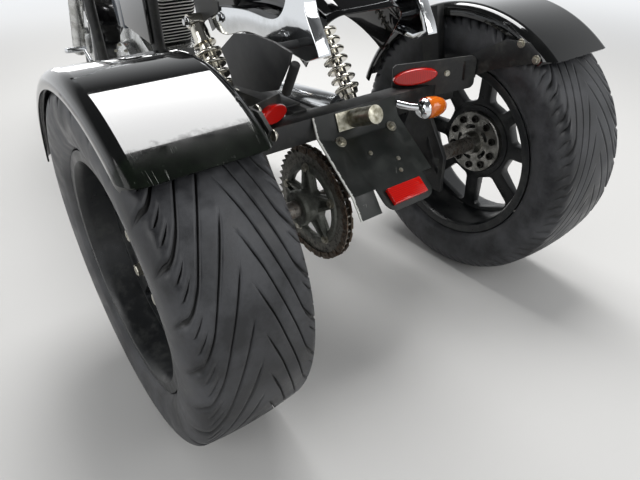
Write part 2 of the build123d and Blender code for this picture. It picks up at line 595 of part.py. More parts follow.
def panel_face(down):
    """The middle of the panel's sloping part, down mm below its upper bend, as (Y, Z) and tilt."""
    (y0, z0), (y1, z1) = PANEL_LINE[1:3]
    tilt = atan2(z0 - z1, y0 - y1)
    return y0 - down * cos(tilt), z0 - down * sin(tilt), degrees(tilt)


def panel():
    """Bent sheet under the beam's rear face, with two holes, a short flange and a tongue below."""
    sheet = offset(Polyline(*PANEL_LINE[:3]), PANEL_WALL, side=Side.RIGHT, closed=True)
    sheet = Pos(-PANEL_HALF, 0, 0) * extrude(Plane.YZ * make_face(sheet), 2 * PANEL_HALF)
    flange = offset(Polyline(*PANEL_LINE[1:]), PANEL_WALL, side=Side.RIGHT, closed=True)
    sheet += Pos(-PANEL_HALF, 0, 0) * extrude(Plane.YZ * make_face(flange), PANEL_FLANGE_HALF)
    y, z, tilt = panel_face(PANEL_HOLE_DOWN)
    for x in PANEL_HOLE_X:
        sheet -= Pos(x, y, z) * Rot(tilt, 0, 0) * Cylinder(PANEL_HOLE, 60)
    slope = hypot(PANEL_LINE[1][0] - PANEL_LINE[2][0], PANEL_LINE[1][1] - PANEL_LINE[2][1])
    y, z, tilt = panel_face(slope)
    outline = Pos(sum(TONGUE) / 2, -TONGUE_LENGTH / 2) * Rectangle(TONGUE[1] - TONGUE[0], TONGUE_LENGTH)
    outline = fillet(outline.vertices().group_by(Axis.Y)[0], 24)
    return sheet + Pos(0, y, z) * Rot(tilt, 0, 0) * extrude(outline, PANEL_WALL)


def turned(shape):
    """A steered piece, turned about the steering axis to its place at rest."""
    low, high = Vector(*on_axis(0)), Vector(*on_axis(100))
    return shape.rotate(Axis(low, high - low), -STEER_AT_REST)


def fork_leg(x):
    """Slider and stanchion; the left slider also carries the brake's caliper."""
    body = rod(on_axis(-20, x, FORK_OFFSET), on_axis(SLIDER_TOP, x, FORK_OFFSET), LEG_RADIUS)
    seal = on_axis(SLIDER_TOP - 12, x, FORK_OFFSET), on_axis(SLIDER_TOP + 4, x, FORK_OFFSET)
    body += rod(*seal, LEG_RADIUS + 3)
    stanchion_top = on_axis(UPPER_CLAMP_S + 34, x, FORK_OFFSET)
    body += rod(on_axis(SLIDER_TOP - 10, x, FORK_OFFSET), stanchion_top, STANCHION_RADIUS)
    if x < 0:
        y, z = WHEELBASE, FRONT_TYRE_RADIUS
        near = DISC_X - CALIPER_HALF
        bracket = [(y - 20, z + 20), (y - 50, z + 96), (y - 112, z + 72), (y - 122, z + 10), (y - 90, z + 6)]
        body += side_plate(bracket, x + LEG_RADIUS - 8, near - (x + LEG_RADIUS - 8))
        caliper = side_plate([(y - 142, z + 2), (y - 138, z + 76), (y - 96, z + 92), (y - 78, z + 20)], near,
                             2 * CALIPER_HALF)
        body += caliper - spin(collar(DISC_X - 5, DISC_X + 5, 0, DISC_RADIUS + 5), 0, y, z)
    return body


def clamps():
    """Stem with two rounded plates that hold both stanchions."""
    body = rod(on_axis(LOWER_CLAMP_S - 10), on_axis(UPPER_CLAMP_S + 20), STEM_RADIUS)
    bosses = [Pos(x, FORK_OFFSET) * Circle(CLAMP_BOSS) for x in (-LEG_X, LEG_X)] + [Circle(CLAMP_BOSS - 2)]
    outline = make_hull([edge for boss in bosses for edge in boss.edges()])
    for s in (LOWER_CLAMP_S, UPPER_CLAMP_S):
        across = Plane(origin=on_axis(s), x_dir=(1, 0, 0), z_dir=(0, -sin(UP), cos(UP)))
        plate = across * extrude(outline, 12, both=True)
        for x in (-LEG_X, LEG_X):
            start, end = on_axis(s - 60, x, FORK_OFFSET), on_axis(s + 60, x, FORK_OFFSET)
            plate -= rod(start, end, STANCHION_RADIUS + SEAT_GAP)
        body += plate
    return body


def front_wheel():
    """Cast wheel with five pairs of spokes and the brake's disc on its left."""
    half = FRONT_RIM_WIDTH / 2
    bore = 10.05
    flange = FRONT_FLANGE_RADIUS
    rim = spin([(-half, 196), (-half, flange), (-half + 5, flange), (-half + 5, 212), (half - 5, 212),
                (half - 5, flange), (half, flange), (half, 196)], 0, 0, 0)
    wheel = rim + spin([(DISC_X - 2, bore), (DISC_X - 2, 56), (-38, 42), (45, 42), (45, bore)], 0, 0, 0)
    for i in range(5):
        for side in (-1, 1):
            wheel += Rot(72 * i, 0, 0) * Pos(0, 16 * side, 120) * Rot(5 * side, 0, 0) * Box(26, 14, 170)
    disc = spin(collar(DISC_X - 2, DISC_X + 2, 50, DISC_RADIUS), 0, 0, 0)
    for i in range(10):
        disc -= Rot(36 * i, 0, 0) * Pos(DISC_X, 0, 72) * Rot(0, 90, 0) * Cylinder(11, 20)
    return wheel + disc


def bar_half(side, radius):
    """One half of the handlebar: out, back and up, then level to the grip."""
    start = on_axis(UPPER_CLAMP_S + 90)
    y, z = start[1], start[2]
    return tube([(0, y, z), (130 * side, y, z), (190 * side, y - 30, z + 120), (300 * side, y - 110, z + 130),
                 (400 * side, y - 250, z + 105)], radius, 45)


def handlebar():
    """One bent bar on two risers from the upper clamp."""
    start = on_axis(UPPER_CLAMP_S + 90)
    body = bar_half(-1, BAR_RADIUS) + bar_half(1, BAR_RADIUS)
    for x in (-45, 45):
        foot = on_axis(UPPER_CLAMP_S + 12 + SEAT_GAP, x)
        body += rod(foot, (x, start[1], start[2]), 15)
    return body


def bar_end(side):
    """The outer end of the bar's straight part and its direction outwards."""
    start = on_axis(UPPER_CLAMP_S + 90)
    inner = Vector(300 * side, start[1] - 110, start[2] + 130)
    outer = Vector(400 * side, start[1] - 250, start[2] + 105)
    return outer, (outer - inner).normalized()


def grip(side):
    """Rubber sleeve on the bar's end with a flange at its inner side."""
    end, along = bar_end(side)
    body = rod(end - along * 110, end + along * 4, 17) + rod(end - along * 112, end - along * 104, 22)
    return body - rod(end - along * 130, end, BAR_RADIUS + SEAT_GAP)


def lever(side):
    """Switch block clamped inside the grip and the lever ahead of it."""
    end, along = bar_end(side)
    level = Vector(0, 0, 1)
    out = along.cross(level).normalized() * (-side)
    body = rod(end - along * 140, end - along * 113, 21)
    body += rod(end - along * 132, end - along * 132 + out * 44, 9)
    body += rod(end - along * 134 + out * 42, end - along * 8 + out * 52, 6)
    body += Pos(*(end - along * 8 + out * 52)) * Sphere(8)
    return body - bar_half(side, BAR_RADIUS + SEAT_GAP)


def speedometer():
    """Round instrument on a bracket from the upper clamp's front."""
    origin = on_axis(UPPER_CLAMP_S + 46, 0, 96)
    up = Plane(origin=origin, x_dir=(1, 0, 0), z_dir=(0, -sin(UP) * 0.9, cos(UP)))
    body = up * extrude(Circle(42), 34)
    body = fillet(body.edges().group_by(Axis.Z)[0], 12)
    across = Plane(origin=on_axis(UPPER_CLAMP_S), x_dir=(1, 0, 0), z_dir=(0, -sin(UP), cos(UP)))
    foot = across * Pos(0, 60, 12 + SEAT_GAP + 2) * Box(34, 76, 4)
    post = across * Pos(0, 92, 30) * Box(30, 8, 56)
    return body + foot + post


def tank():
    """Teardrop tank by a loft of three upright sections, with a round filler cap."""
    sections = []
    for y, half, low, high in TANK_ROWS:
        outline = fillet(Rectangle(2 * half, high - low).vertices(), 0.45 * min(2 * half, high - low))
        sections.append(Plane(origin=(0, y, (low + high) / 2), x_dir=(1, 0, 0), z_dir=(0, -1, 0)) * outline)
    tunnel = side_plate([(SADDLE_START[1] + 68, 700), (SADDLE_END[1], 530), SADDLE_END[1:], SADDLE_START[1:]],
                        -SADDLE_TUBE - SEAT_GAP, 2 * (SADDLE_TUBE + SEAT_GAP))
    cap = spin_cap(TANK_ROWS[1][0] - 10, TANK_ROWS[1][3] - 8)
    return loft(sections) - rod(SADDLE_START, SADDLE_END, SADDLE_TUBE + SEAT_GAP) - tunnel + cap


def spin_cap(y, z):
    """The tank's round filler cap."""
    cap = extrude(Circle(31), 20)
    return Pos(0, y, z) * fillet(cap.edges().group_by(Axis.Z)[-1], 5)


def seat_pad(rows):
    sections = []
    for y, half, low, high in rows:
        outline = fillet(Rectangle(2 * half, high - low).vertices(), 0.4 * min(2 * half, high - low))
        sections.append(Plane(origin=(0, y, (low + high) / 2), x_dir=(1, 0, 0), z_dir=(0, -1, 0)) * outline)
    return loft(sections)


def short_fender():
    """The cruiser's own rear fender: an arched band ending just behind the axle."""
    radius = 435
    band = revolve(band_section(SHORT_FENDER_HALF, radius, 110, 3, 40), Axis.X, 66)
    return Pos(0, 200, SHORT_FENDER_TOP - radius) * Rot(90 - 32, 0, 0) * band


def strut():
    """Forged chrome strut beside the short fender: a bar whose end forks down to a tip and up."""
    low = STRUT_X - STRUT_WIDTH / 2
    edges = [Spline(*points) for points in STRUT_EDGE]
    edges += [Line(a @ 1, b @ 0) for a, b in zip(edges, edges[1:] + edges[:1])]
    face = make_face(edges)
    body = Pos(low, 0, 0) * extrude(Plane.YZ * face, STRUT_WIDTH)
    outside = [edge for edge in body.edges() if edge.center().X > low + STRUT_WIDTH - 1]
    body = fillet(outside, 2)
    body -= side_plate(STRUT_HOLLOW, low - 1, STRUT_WIDTH - 5)
    for y in (20, 240):
        body += rod((SHORT_FENDER_HALF + SEAT_GAP, y, 627), (low + STRUT_WIDTH - 4, y, 627), 9)
    return body


def sissy_bar():
    """Tube loop that stands on the struts' upper ends, with one cross bar behind the backrest."""
    halves = []
    for side in (-1, 1):
        x, y, z = STRUT_X * side, SISSY_Y, STRUT_TOP + SEAT_GAP
        halves.append(tube([(x, y, z + 3), (x, y - 20, 985), (0, y - 20, 992)], 8, 60))
        halves.append(rod((x, y, z), (x, y, z + 12), 11))
    halves.append(rod((-STRUT_X, SISSY_Y - 16, 890), (STRUT_X, SISSY_Y - 16, 890), 7))
    return halves[0] + halves[1:]


def backrest():
    """Padded cushion held against the sissy bar's cross bar."""
    depth = 34
    pad = extrude(fillet(Rectangle(190, 116).vertices(), 34), depth)
    pad = fillet(pad.edges().group_by(Axis.Z)[-1], 14)
    back = SISSY_Y - 16 + 7 + SEAT_GAP
    return Plane(origin=(0, back, 905), x_dir=(-1, 0, 0), z_dir=(0, 1, 0)) * pad


def front_fender():
    """Narrow band over the front tyre, tangent to the fork legs' inner sides."""
    half = LEG_X - LEG_RADIUS - SEAT_GAP
    band = revolve(band_section(half, FRONT_TYRE_RADIUS + 16, 52, 2.5, 34), Axis.X, 118)
    return Pos(0, WHEELBASE, FRONT_TYRE_RADIUS) * Rot(78, 0, 0) * band


def headlamp():
    """Chrome bucket, open at the front, held by a bracket from the lower clamp's front edge."""
    plane = Plane(origin=on_axis(620, 0, 172), x_dir=(1, 0, 0), z_dir=(0, 1, 0))
    outside = [Line((0, -112), (20, -112)), ThreePointArc((20, -112), (68, -76), (LAMP_RADIUS - 4, -8)),
               Polyline((LAMP_RADIUS - 4, -8), (LAMP_RADIUS, -6), (LAMP_RADIUS, 20), (LAMP_RADIUS - 8, 20),
                        (LAMP_RADIUS - 8, -8), (74, -8)),
               ThreePointArc((74, -8), (60, -72), (16, -106)), Polyline((16, -106), (0, -106), (0, -112))]
    bucket = plane * revolve(Plane.XZ * make_face(outside), Axis.Z, 360)
    across = Plane(origin=on_axis(LOWER_CLAMP_S), x_dir=(1, 0, 0), z_dir=(0, -sin(UP), cos(UP)))
    near = FORK_OFFSET + CLAMP_BOSS + SEAT_GAP
    arm = across * Pos(0, near + 25, 0) * Box(50, 50, 14)
    return bucket + (arm - plane * Pos(0, 0, -50) * Cylinder(66, 110))


def headlamp_lens():
    """Domed glass inside the lamp's rim."""
    plane = Plane(origin=on_axis(620, 0, 172), x_dir=(1, 0, 0), z_dir=(0, 1, 0))
    edge = LAMP_RADIUS - 8 - SEAT_GAP
    glass = [Line((0, 17), (0, 21)), TangentArc((0, 21), (edge, 8), tangent=(1, 0)),
             Line((edge, 8), (edge, 4)), TangentArc((0, 17), (edge, 4), tangent=(1, 0))]
    return plane * revolve(Plane.XZ * make_face(glass), Axis.Z, 360)


def indicator(x, y, z, lean):
    """Bullet lamp: a domed lens in a tapered cup."""
    profile = [Line((0, -34), (9, -34)), ThreePointArc((9, -34), (18, -16), (22, 0)), Line((22, 0), (20, 2)),
               TangentArc((0, 34), (20, 2), tangent=(1, 0)), Line((0, 34), (0, -34))]
    body = Rot(0, 90, 0) * revolve(Plane.XZ * make_face(profile), Axis.Z, 360)
    return Pos(x, y, z) * Rot(0, 0, lean) * body


def rear_indicator():
    """The one rear indicator that is left, on the right of the panel."""
    lamp = (172, -50, 458)
    body = rod((PANEL_HALF + 10, BEAM_REAR_Y + 20, 468), (150, -45, 460), 8)
    body -= block((50, 400), (BEAM_REAR_Y - SEAT_GAP, 100), (400, 520))
    return body + indicator(lamp[0], lamp[1], lamp[2], -12)


def front_indicator():
    inner = on_axis(650, LEG_X + STANCHION_RADIUS + SEAT_GAP, FORK_OFFSET)
    outer = (inner[0] + 40, inner[1], inner[2])
    return rod(inner, outer, 7) + indicator(inner[0] + 66, inner[1], inner[2], 0)


def mirror_arm():
    start = on_axis(UPPER_CLAMP_S + 90)
    y, z = start[1], start[2]
    base = Vector(262, y - 82, z + 128)
    top = base + Vector(70, 10, 130)
    head = Plane(origin=top + Vector(30, 0, 22), x_dir=(1, 0, 0.15), z_dir=(0, 1, 0.1))
    oval = head * extrude(Ellipse(62, 40), 9, both=True)
    bar_part = rod((190, y - 30, z + 120), (300, y - 110, z + 130), 12.5 + SEAT_GAP)
    return rod(tuple(base), tuple(top), 5) + oval - bar_part


def exhaust():
    """A header pipe from each cylinder into one silencer low on the right, ahead of the rear tyre."""
    y = CRANK_Y
    front = tube([(30, y + 187.9, 579.2), (30, y + 249, 544), (80, y + 245, 196), (236, y + 50, 196),
                  (249, y - 260, 300)], 19, 45)
    lean = radians(CYLINDER_ANGLE)
    reach = BARREL_START + BARREL_LENGTH + HEAD_LENGTH / 2
    port = (FIN_WIDTH / 2 + SEAT_GAP, y - reach * sin(lean), CRANK_Z + reach * cos(lean))
    rear = tube([port, (160, port[1], port[2]), (228, y - 160, 470), (249, y - 215, 302)], 19, 45)
    start, end = Vector(249, y - 245, 300), Vector(249, 350, 330)
    along = (end - start).normalized()
    return front + rear + rod(start, end, 38) - rod(end - along * 50, end + along * 10, 24)


def v_cover():
    """Tapered cover between the two cylinders, on the left side."""
    inner = -CASE_WIDTH / 2 - SEAT_GAP
    lower = Plane.XY.offset(500) * Pos(inner - 13, CRANK_Y) * Rectangle(26, 52)
    upper = Plane.XY.offset(690) * Pos(inner - 15, CRANK_Y) * Rectangle(30, 130)
    return loft([lower, upper])


def splash_guard():
    """Flat black plate beside the chain, clear of the left shock."""
    outline = [(157, 591), (101, 626), (33, 635), (-26, 633), (-73, 626), (-66, 610), (-27, 558), (25, 542),
               (122, 532), (137, 565)]
    plate = side_plate(outline, -GUARD_X - 5, 5)
    for y, z in ((-20, 622), (70, 612)):
        plate += rod((-GUARD_X - 2, y, z), (-STRUT_X - STRUT_WIDTH / 2 - SEAT_GAP, y, z), 7)
    return plate


def foot_controls():
    """Per side a peg on the cradle, with a lever and its toe piece ahead of it."""
    pieces = []
    for side in (-1, 1):
        near = CRADLE_X + FRAME_TUBE + SEAT_GAP
        y = CRANK_Y + 180
        peg = rod((near * side, y, 345), (290 * side, y, 345), 13)
        lever_arm = tube([(165 * side, y, 345), (165 * side, y + 50, 366), (165 * side, y + 108, 396)], 6, 12)
        toe = rod((160 * side, y + 108, 396), (228 * side, y + 85, 404), 9)
        pieces.append(peg + lever_arm + toe)
    return pieces


def passenger_peg():
    """Folded-up peg behind the splash guard."""
    x = -GUARD_X + SEAT_GAP + 8
    return rod((x, -66, 606), (x, -34, 552), 8)


def plate_lamp():
    """Plated bracket and lamp tube standing square on the panel's upper flange."""
    tilt = degrees(atan2(37, 15))
    up = (0, -sin(radians(tilt)), cos(radians(tilt)))
    face = Plane(origin=(-24, -18.5, 468), x_dir=(1, 0, 0), z_dir=up)
    plate = face * Pos(0, 0, 2) * Box(56, 34, 2)
    return plate + face * Pos(12, 0, 35) * Cylinder(17, 66)


def reflector():
    """Red rectangular reflector on the panel's tongue."""
    slope = hypot(PANEL_LINE[1][0] - PANEL_LINE[2][0], PANEL_LINE[1][1] - PANEL_LINE[2][1])
    y, z, tilt = panel_face(slope + TONGUE_LENGTH / 2)
    box = Box(84, 33, 9, align=(Align.CENTER, Align.CENTER, Align.MIN))
    return Pos(12, y, z) * Rot(tilt, 0, 0) * Pos(0, 0, PANEL_WALL + SEAT_GAP) * box


def side_cover(side):
    """Flat painted cover on the frame's upright, under the seat."""
    outline = [(PIVOT_Y - 12, 520), (PIVOT_Y + 160, 540), (PIVOT_Y + 170, 660), (PIVOT_Y - 12, 690)]
    plate = side_plate(outline, CRADLE_X + FRAME_TUBE + SEAT_GAP, 8)
    outside = [edge for edge in plate.edges() if edge.center().X > CRADLE_X + FRAME_TUBE + 8]
    plate = fillet(outside, 4)
    return plate if side > 0 else mirrored(plate)


steered = {
    "fork_legs": [fork_leg(-LEG_X), fork_leg(LEG_X)],
    "fork_clamps": [clamps()],
    "handlebar": [handlebar()],
    "grips": [grip(-1), grip(1)],
    "mirrors": [mirror_arm(), mirrored(mirror_arm())],
    "headlamp": [headlamp()],
    "headlamp_lens": [headlamp_lens()],
    "levers": [lever(-1), lever(1)],
    "speedometer": [speedometer()],
    "front_indicators": [front_indicator(), mirrored(front_indicator())],
    "front_fender": [front_fender()],
    "front_axle": [rod(on_axis(0, -LEG_X + LEG_RADIUS + SEAT_GAP, FORK_OFFSET),
                       on_axis(0, LEG_X - LEG_RADIUS - SEAT_GAP, FORK_OFFSET), 10)],
    "front_wheel": [Pos(0, WHEELBASE, FRONT_TYRE_RADIUS) * front_wheel()],
    "front_tyre": [Pos(0, WHEELBASE, FRONT_TYRE_RADIUS) * tyre(
        FRONT_TYRE_RADIUS, FRONT_TYRE_WIDTH, FRONT_FLANGE_RADIUS, FRONT_RIM_WIDTH, 212 + SEAT_GAP,
        FRONT_TYRE_WIDTH * 0.6)],
}

right_hub = Pos(TRACK / 2, 0, AXLE_Z)
right_adapter = Pos(TRACK / 2 + REAR_DISC_OFFSET - SEAT_GAP, 0, AXLE_Z) * hub_adapter()
fixed = {
    "frame": [frame()],
    "rear_frame": [rear_frame()],
    "axle_carriers": [axle_carrier(), mirrored(axle_carrier())],
    "engine_case": [engine_case()],
    "cylinders": [cylinder(CYLINDER_ANGLE), cylinder(-CYLINDER_ANGLE)],
    "v_cover": [v_cover()],
    "intake": [intake()],
    "exhaust": [exhaust()],
    "fuel_tank": [tank()],
    "rider_seat": [seat_pad(RIDER_ROWS)],
    "pillion_seat": [seat_pad(PILLION_ROWS)],
    "short_fender": [short_fender()],
    "struts": [strut(), mirrored(strut())],
    "sissy_bar": [sissy_bar()],
    "backrest": [backrest()],
    "shocks": [shock(SHOCK_X), mirrored(shock(SHOCK_X))],
    "chain": [chain()],
    "chain_guard": [chain_guard()],
    "splash_guard": [splash_guard()],
    "side_covers": [side_cover(1), side_cover(-1)],
    "foot_controls": foot_controls(),
    "passenger_peg": [passenger_peg()],
    "panel": [panel()],
    "plate_lamp": [plate_lamp()],
    "reflector": [reflector()],
    "fender_brackets": fender_brackets() + [mirrored(p) for p in fender_brackets()],
    "marker_lenses": [marker_lens(), mirrored(marker_lens())],
    "rear_indicator": [rear_indicator()],
    "rear_fenders": [Pos(side * TRACK / 2, 0, AXLE_Z - FENDER_DROP) * fender() for side in (1, -1)],
    "rear_tyre_r": [right_hub * rear_tyre()],
    "rear_wheel_r": [right_hub * rear_wheel()],
    "hub_adapters": [right_adapter, mirrored(right_adapter)],
    "axle_shaft": [rod((-TRACK / 2 - 20, 0, AXLE_Z), (TRACK / 2 + 20, 0, AXLE_Z), SHAFT_RADIUS)],
    "sprocket": [sprocket()],
    "sprocket_carrier": [sprocket_carrier()],
}
fixed["rear_tyre_l"] = [mirrored(p) for p in fixed["rear_tyre_r"]]
fixed["rear_wheel_l"] = [mirrored(p) for p in fixed["rear_wheel_r"]]

nodes = dict(fixed)
for name, shapes in steered.items():
    nodes[name] = [turned(shape) for shape in shapes]

front_end = nodes["front_tyre"][0].bounding_box().max.Y
rear_end = nodes["rear_tyre_r"][0].bounding_box().min.Y
to_origin = Pos(0, -(front_end + rear_end) / 2, 0)
print("origin is", (front_end + rear_end) / 2, "ahead of the rear axle")
for name, shapes in nodes.items():
    solids = [solid for shape in shapes for solid in (to_origin * shape).solids()]
    export_step(solids[0] if len(solids) == 1 else Compound(children=solids), f"parts/{name}.step")
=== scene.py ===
"""Looks of a motorized trike: a V-twin cruiser with a chain-driven axle and two wide rear wheels."""
import json
from math import atan2, cos, pi, radians, sin

import bmesh
import bpy
import numpy as np
from mathutils import Matrix, Vector

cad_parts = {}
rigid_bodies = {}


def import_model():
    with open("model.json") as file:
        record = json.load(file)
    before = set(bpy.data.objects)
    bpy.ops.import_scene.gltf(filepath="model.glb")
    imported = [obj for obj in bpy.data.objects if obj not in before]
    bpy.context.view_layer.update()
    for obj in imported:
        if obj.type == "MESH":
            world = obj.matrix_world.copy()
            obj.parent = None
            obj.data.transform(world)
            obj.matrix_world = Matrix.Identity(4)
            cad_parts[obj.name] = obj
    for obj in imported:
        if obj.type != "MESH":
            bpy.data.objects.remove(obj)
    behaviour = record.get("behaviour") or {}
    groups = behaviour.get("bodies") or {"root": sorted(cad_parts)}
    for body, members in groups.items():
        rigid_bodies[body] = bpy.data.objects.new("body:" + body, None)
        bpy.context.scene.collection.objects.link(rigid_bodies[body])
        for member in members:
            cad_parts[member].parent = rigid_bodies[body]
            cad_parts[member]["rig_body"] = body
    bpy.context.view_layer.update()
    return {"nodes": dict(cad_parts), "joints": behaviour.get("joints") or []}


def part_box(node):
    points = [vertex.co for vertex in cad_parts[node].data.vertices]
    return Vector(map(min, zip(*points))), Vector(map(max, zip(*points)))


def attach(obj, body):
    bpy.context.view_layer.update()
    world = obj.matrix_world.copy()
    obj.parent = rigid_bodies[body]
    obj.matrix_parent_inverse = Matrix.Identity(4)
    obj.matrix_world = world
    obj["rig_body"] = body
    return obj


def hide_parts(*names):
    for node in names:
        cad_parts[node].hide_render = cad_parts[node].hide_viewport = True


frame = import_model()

# Camera: it stands behind and left of the left rear wheel, at a standing person's chest, and
# looks down over the axle. Its place and turns were fitted to the outlines of the two wheels.
CAMERA_PLACE = Vector((-0.6294, -1.5673, 0.8193))
CAMERA_AZIMUTH = radians(-36.307)
CAMERA_DOWN = radians(33.322)
CAMERA_ROLL = radians(1.156)
SENSOR_WIDTH = 36.0
PICTURE_WIDTH = 640
FOCAL_PIXELS = 521.3

ahead = Vector((-sin(CAMERA_AZIMUTH) * cos(CAMERA_DOWN), cos(CAMERA_AZIMUTH) * cos(CAMERA_DOWN),
                -sin(CAMERA_DOWN)))
level = Vector((cos(CAMERA_AZIMUTH), sin(CAMERA_AZIMUTH), 0))
beneath = ahead.cross(level)
right = level * cos(CAMERA_ROLL) + beneath * sin(CAMERA_ROLL)
down = beneath * cos(CAMERA_ROLL) - level * sin(CAMERA_ROLL)


def placed(name, data):
    """A new object in the scene that shows a mesh, a lamp or a camera."""
    made = bpy.data.objects.new(name, data)
    bpy.context.scene.collection.objects.link(made)
    return made


camera_data = bpy.data.cameras.new("camera")
camera_data.sensor_width = SENSOR_WIDTH
camera_data.lens = FOCAL_PIXELS / PICTURE_WIDTH * SENSOR_WIDTH
camera = placed("camera", camera_data)
camera.matrix_world = Matrix.Translation(CAMERA_PLACE) @ Matrix((right, -down, -ahead)).transposed().to_4x4()
bpy.context.scene.camera = camera
bpy.context.scene.view_settings.view_transform = "Standard"

# Floor and light: a plain pale floor and horizon under a dark ceiling, with one soft lamp overhead
# as an open sky, and weaker ones at the sides. The sky lamp is what the black paint mirrors. The
# horizon's and ceiling's heights are sines of the angle above level.
FLOOR_COLOUR = "#C9C8C6"
FLOOR_HALF = 60.0
FADE_START, FADE_END = 1.9, 4.8
BACKDROP_COLOUR = "#F2F4F6"
SKY_STRENGTH = 0.55
HORIZON_TOP, CEILING_START = 0.22, 0.62
CEILING_STRENGTH = 0.1
# Each lamp: its place, the point it is aimed at, its two sizes, all in metres, and its watts.
LAMPS = {
    "sky_lamp": ((0.65, 0.34, 3.0), (0.65, 0.341, 0), (1.3, 2.5), 105),
    "left_lamp": ((-3.6, -1.2, 2.4), (0, 0, 0.4), (2.4, 2.0), 38),
    "rear_lamp": ((1.6, -3.8, 2.2), (0, -0.4, 0.4), (2.6, 1.6), 34),
    "front_lamp": ((0.9, 4.4, 1.2), (0, 0.5, 0.6), (2.6, 1.0), 30),
}


def linear(hex_colour):
    """An sRGB hex colour as linear red, green, blue and alpha."""
    parts = [int(hex_colour[i:i + 2], 16) / 255 for i in (1, 3, 5)]
    return tuple(v / 12.92 if v <= 0.04045 else ((v + 0.055) / 1.055) ** 2.4 for v in parts) + (1.0,)


def add(tree, kind, inputs=(), **attributes):
    """One shader node with its attributes, its inputs' values and its inputs' links."""
    node = tree.nodes.new(kind)
    for name, value in attributes.items():
        setattr(node, name, value)
    for name, value in dict(inputs).items():
        if isinstance(value, bpy.types.NodeSocket):
            tree.links.new(value, node.inputs[name])
        else:
            node.inputs[name].default_value = value
    return node


def maths(tree, operation, *values):
    """One step of arithmetic on shares and plain numbers."""
    return add(tree, "ShaderNodeMath", dict(enumerate(values)), operation=operation).outputs[0]


def own_place(tree):
    """Where a spot lies in its object's own space, in metres."""
    return add(tree, "ShaderNodeTexCoord").outputs["Object"]


floor_mesh = bpy.data.meshes.new("floor")
floor_corners = ((-1, -1), (1, -1), (1, 1), (-1, 1))
floor_mesh.from_pydata([(x * FLOOR_HALF, y * FLOOR_HALF, 0) for x, y in floor_corners], [], [(0, 1, 2, 3)])
floor = placed("floor", floor_mesh)
floor_paint = bpy.data.materials.new("floor_paint")
floor_paint.use_nodes = True
floor_shader = floor_paint.node_tree.nodes["Principled BSDF"]
floor_shader.inputs["Base Color"].default_value = linear(FLOOR_COLOUR)
floor_shader.inputs["Roughness"].default_value = 0.9
floor_shader.inputs["Specular IOR Level"].default_value = 0.1
floor_mesh.materials.append(floor_paint)


def background_rays(tree):
    """1 for the rays that look at the background: the camera's, and those off gloss or through glass."""
    rays = add(tree, "ShaderNodeLightPath")
    seen = rays.outputs["Is Camera Ray"]
    for ray in ("Is Glossy Ray", "Is Transmission Ray"):
        seen = maths(tree, "MAXIMUM", seen, rays.outputs[ray])
    return seen


# Far from the object the floor passes into the backdrop, so no edge shows.
floor_tree = floor_paint.node_tree
reach = add(floor_tree, "ShaderNodeVectorMath", {0: own_place(floor_tree)},
            operation="LENGTH").outputs["Value"]
fade = add(floor_tree, "ShaderNodeMapRange", {"Value": reach, "From Min": FADE_START, "From Max": FADE_END},
           interpolation_type="SMOOTHSTEP").outputs["Result"]
fade = maths(floor_tree, "MULTIPLY", fade, background_rays(floor_tree))
glow = add(floor_tree, "ShaderNodeEmission", {"Color": linear(BACKDROP_COLOUR)})
blended = add(floor_tree, "ShaderNodeMixShader", {0: fade, 1: floor_shader.outputs[0], 2: glow.outputs[0]})
floor_tree.links.new(blended.outputs[0], floor_tree.nodes["Material Output"].inputs["Surface"])

world = bpy.data.worlds.new("studio")
bpy.context.scene.world = world
world.use_nodes = True
sky = world.node_tree
facing = add(sky, "ShaderNodeSeparateXYZ", {0: add(sky, "ShaderNodeTexCoord").outputs["Generated"]})
backdrop = add(sky, "ShaderNodeMapRange", {"Value": facing.outputs["Z"], "From Min": HORIZON_TOP,
                                           "From Max": CEILING_START, "To Min": 1.0,
                                           "To Max": CEILING_STRENGTH}).outputs["Result"]
strength = add(sky, "ShaderNodeMix", {0: background_rays(sky), 2: SKY_STRENGTH, 3: backdrop})
sky.links.new(strength.outputs[0], sky.nodes["Background"].inputs["Strength"])
sky.nodes["Background"].inputs["Color"].default_value = linear(BACKDROP_COLOUR)

for name, (place, aim, size, power) in LAMPS.items():
    lamp = bpy.data.lights.new(name, "AREA")
    lamp.shape = "RECTANGLE"
    lamp.size, lamp.size_y = size
    lamp.energy = power
    turned = (Vector(aim) - Vector(place)).to_track_quat("-Z", "Y").to_matrix().to_4x4()
    placed(name, lamp).matrix_world = Matrix.Translation(place) @ turned

# Rear tyres: wide car tyres of moulded black rubber, with a directional tread. On each side long
# sloping grooves leave the smooth middle, turn square at the shoulder and end on the sidewall.
TYRE_RADIUS = 307.5
TYRE_WIDTH = 201.0
TYRE_BEAD_RADIUS = 210.0
TYRE_BEAD_HALF = 81.0
BULGE_RADIUS = 262.0
TREAD_HALF = 78.4
SIDE_ROWS, TREAD_ROWS = 22, 46
SHOULDER_DROP = 0.22
SHOULDER, SHOULDER_RUN = 84.0, 16.0
# The fine rings on the sidewall: the radius, height and half width of each.
SIDEWALL_RINGS = ((222.0, 1.1, 3.5), (250.0, 0.7, 2.5))
TREAD_PITCHES = 27
GROOVE_DEPTH = 6.0
GROOVE_WIDTH = 10.0
SIPE_WIDTH = 5.0
GROOVE_WALL = 0.9
GROOVE_END_RUN, SIPE_END_RUN, LONGEST_RUN = 9.0, 5.0, 12.0
# The shares of its depth that a groove loses over the shoulder, and of its width that its ends keep.
SHOULDER_LOSS, END_WIDTH = 0.65, 0.35
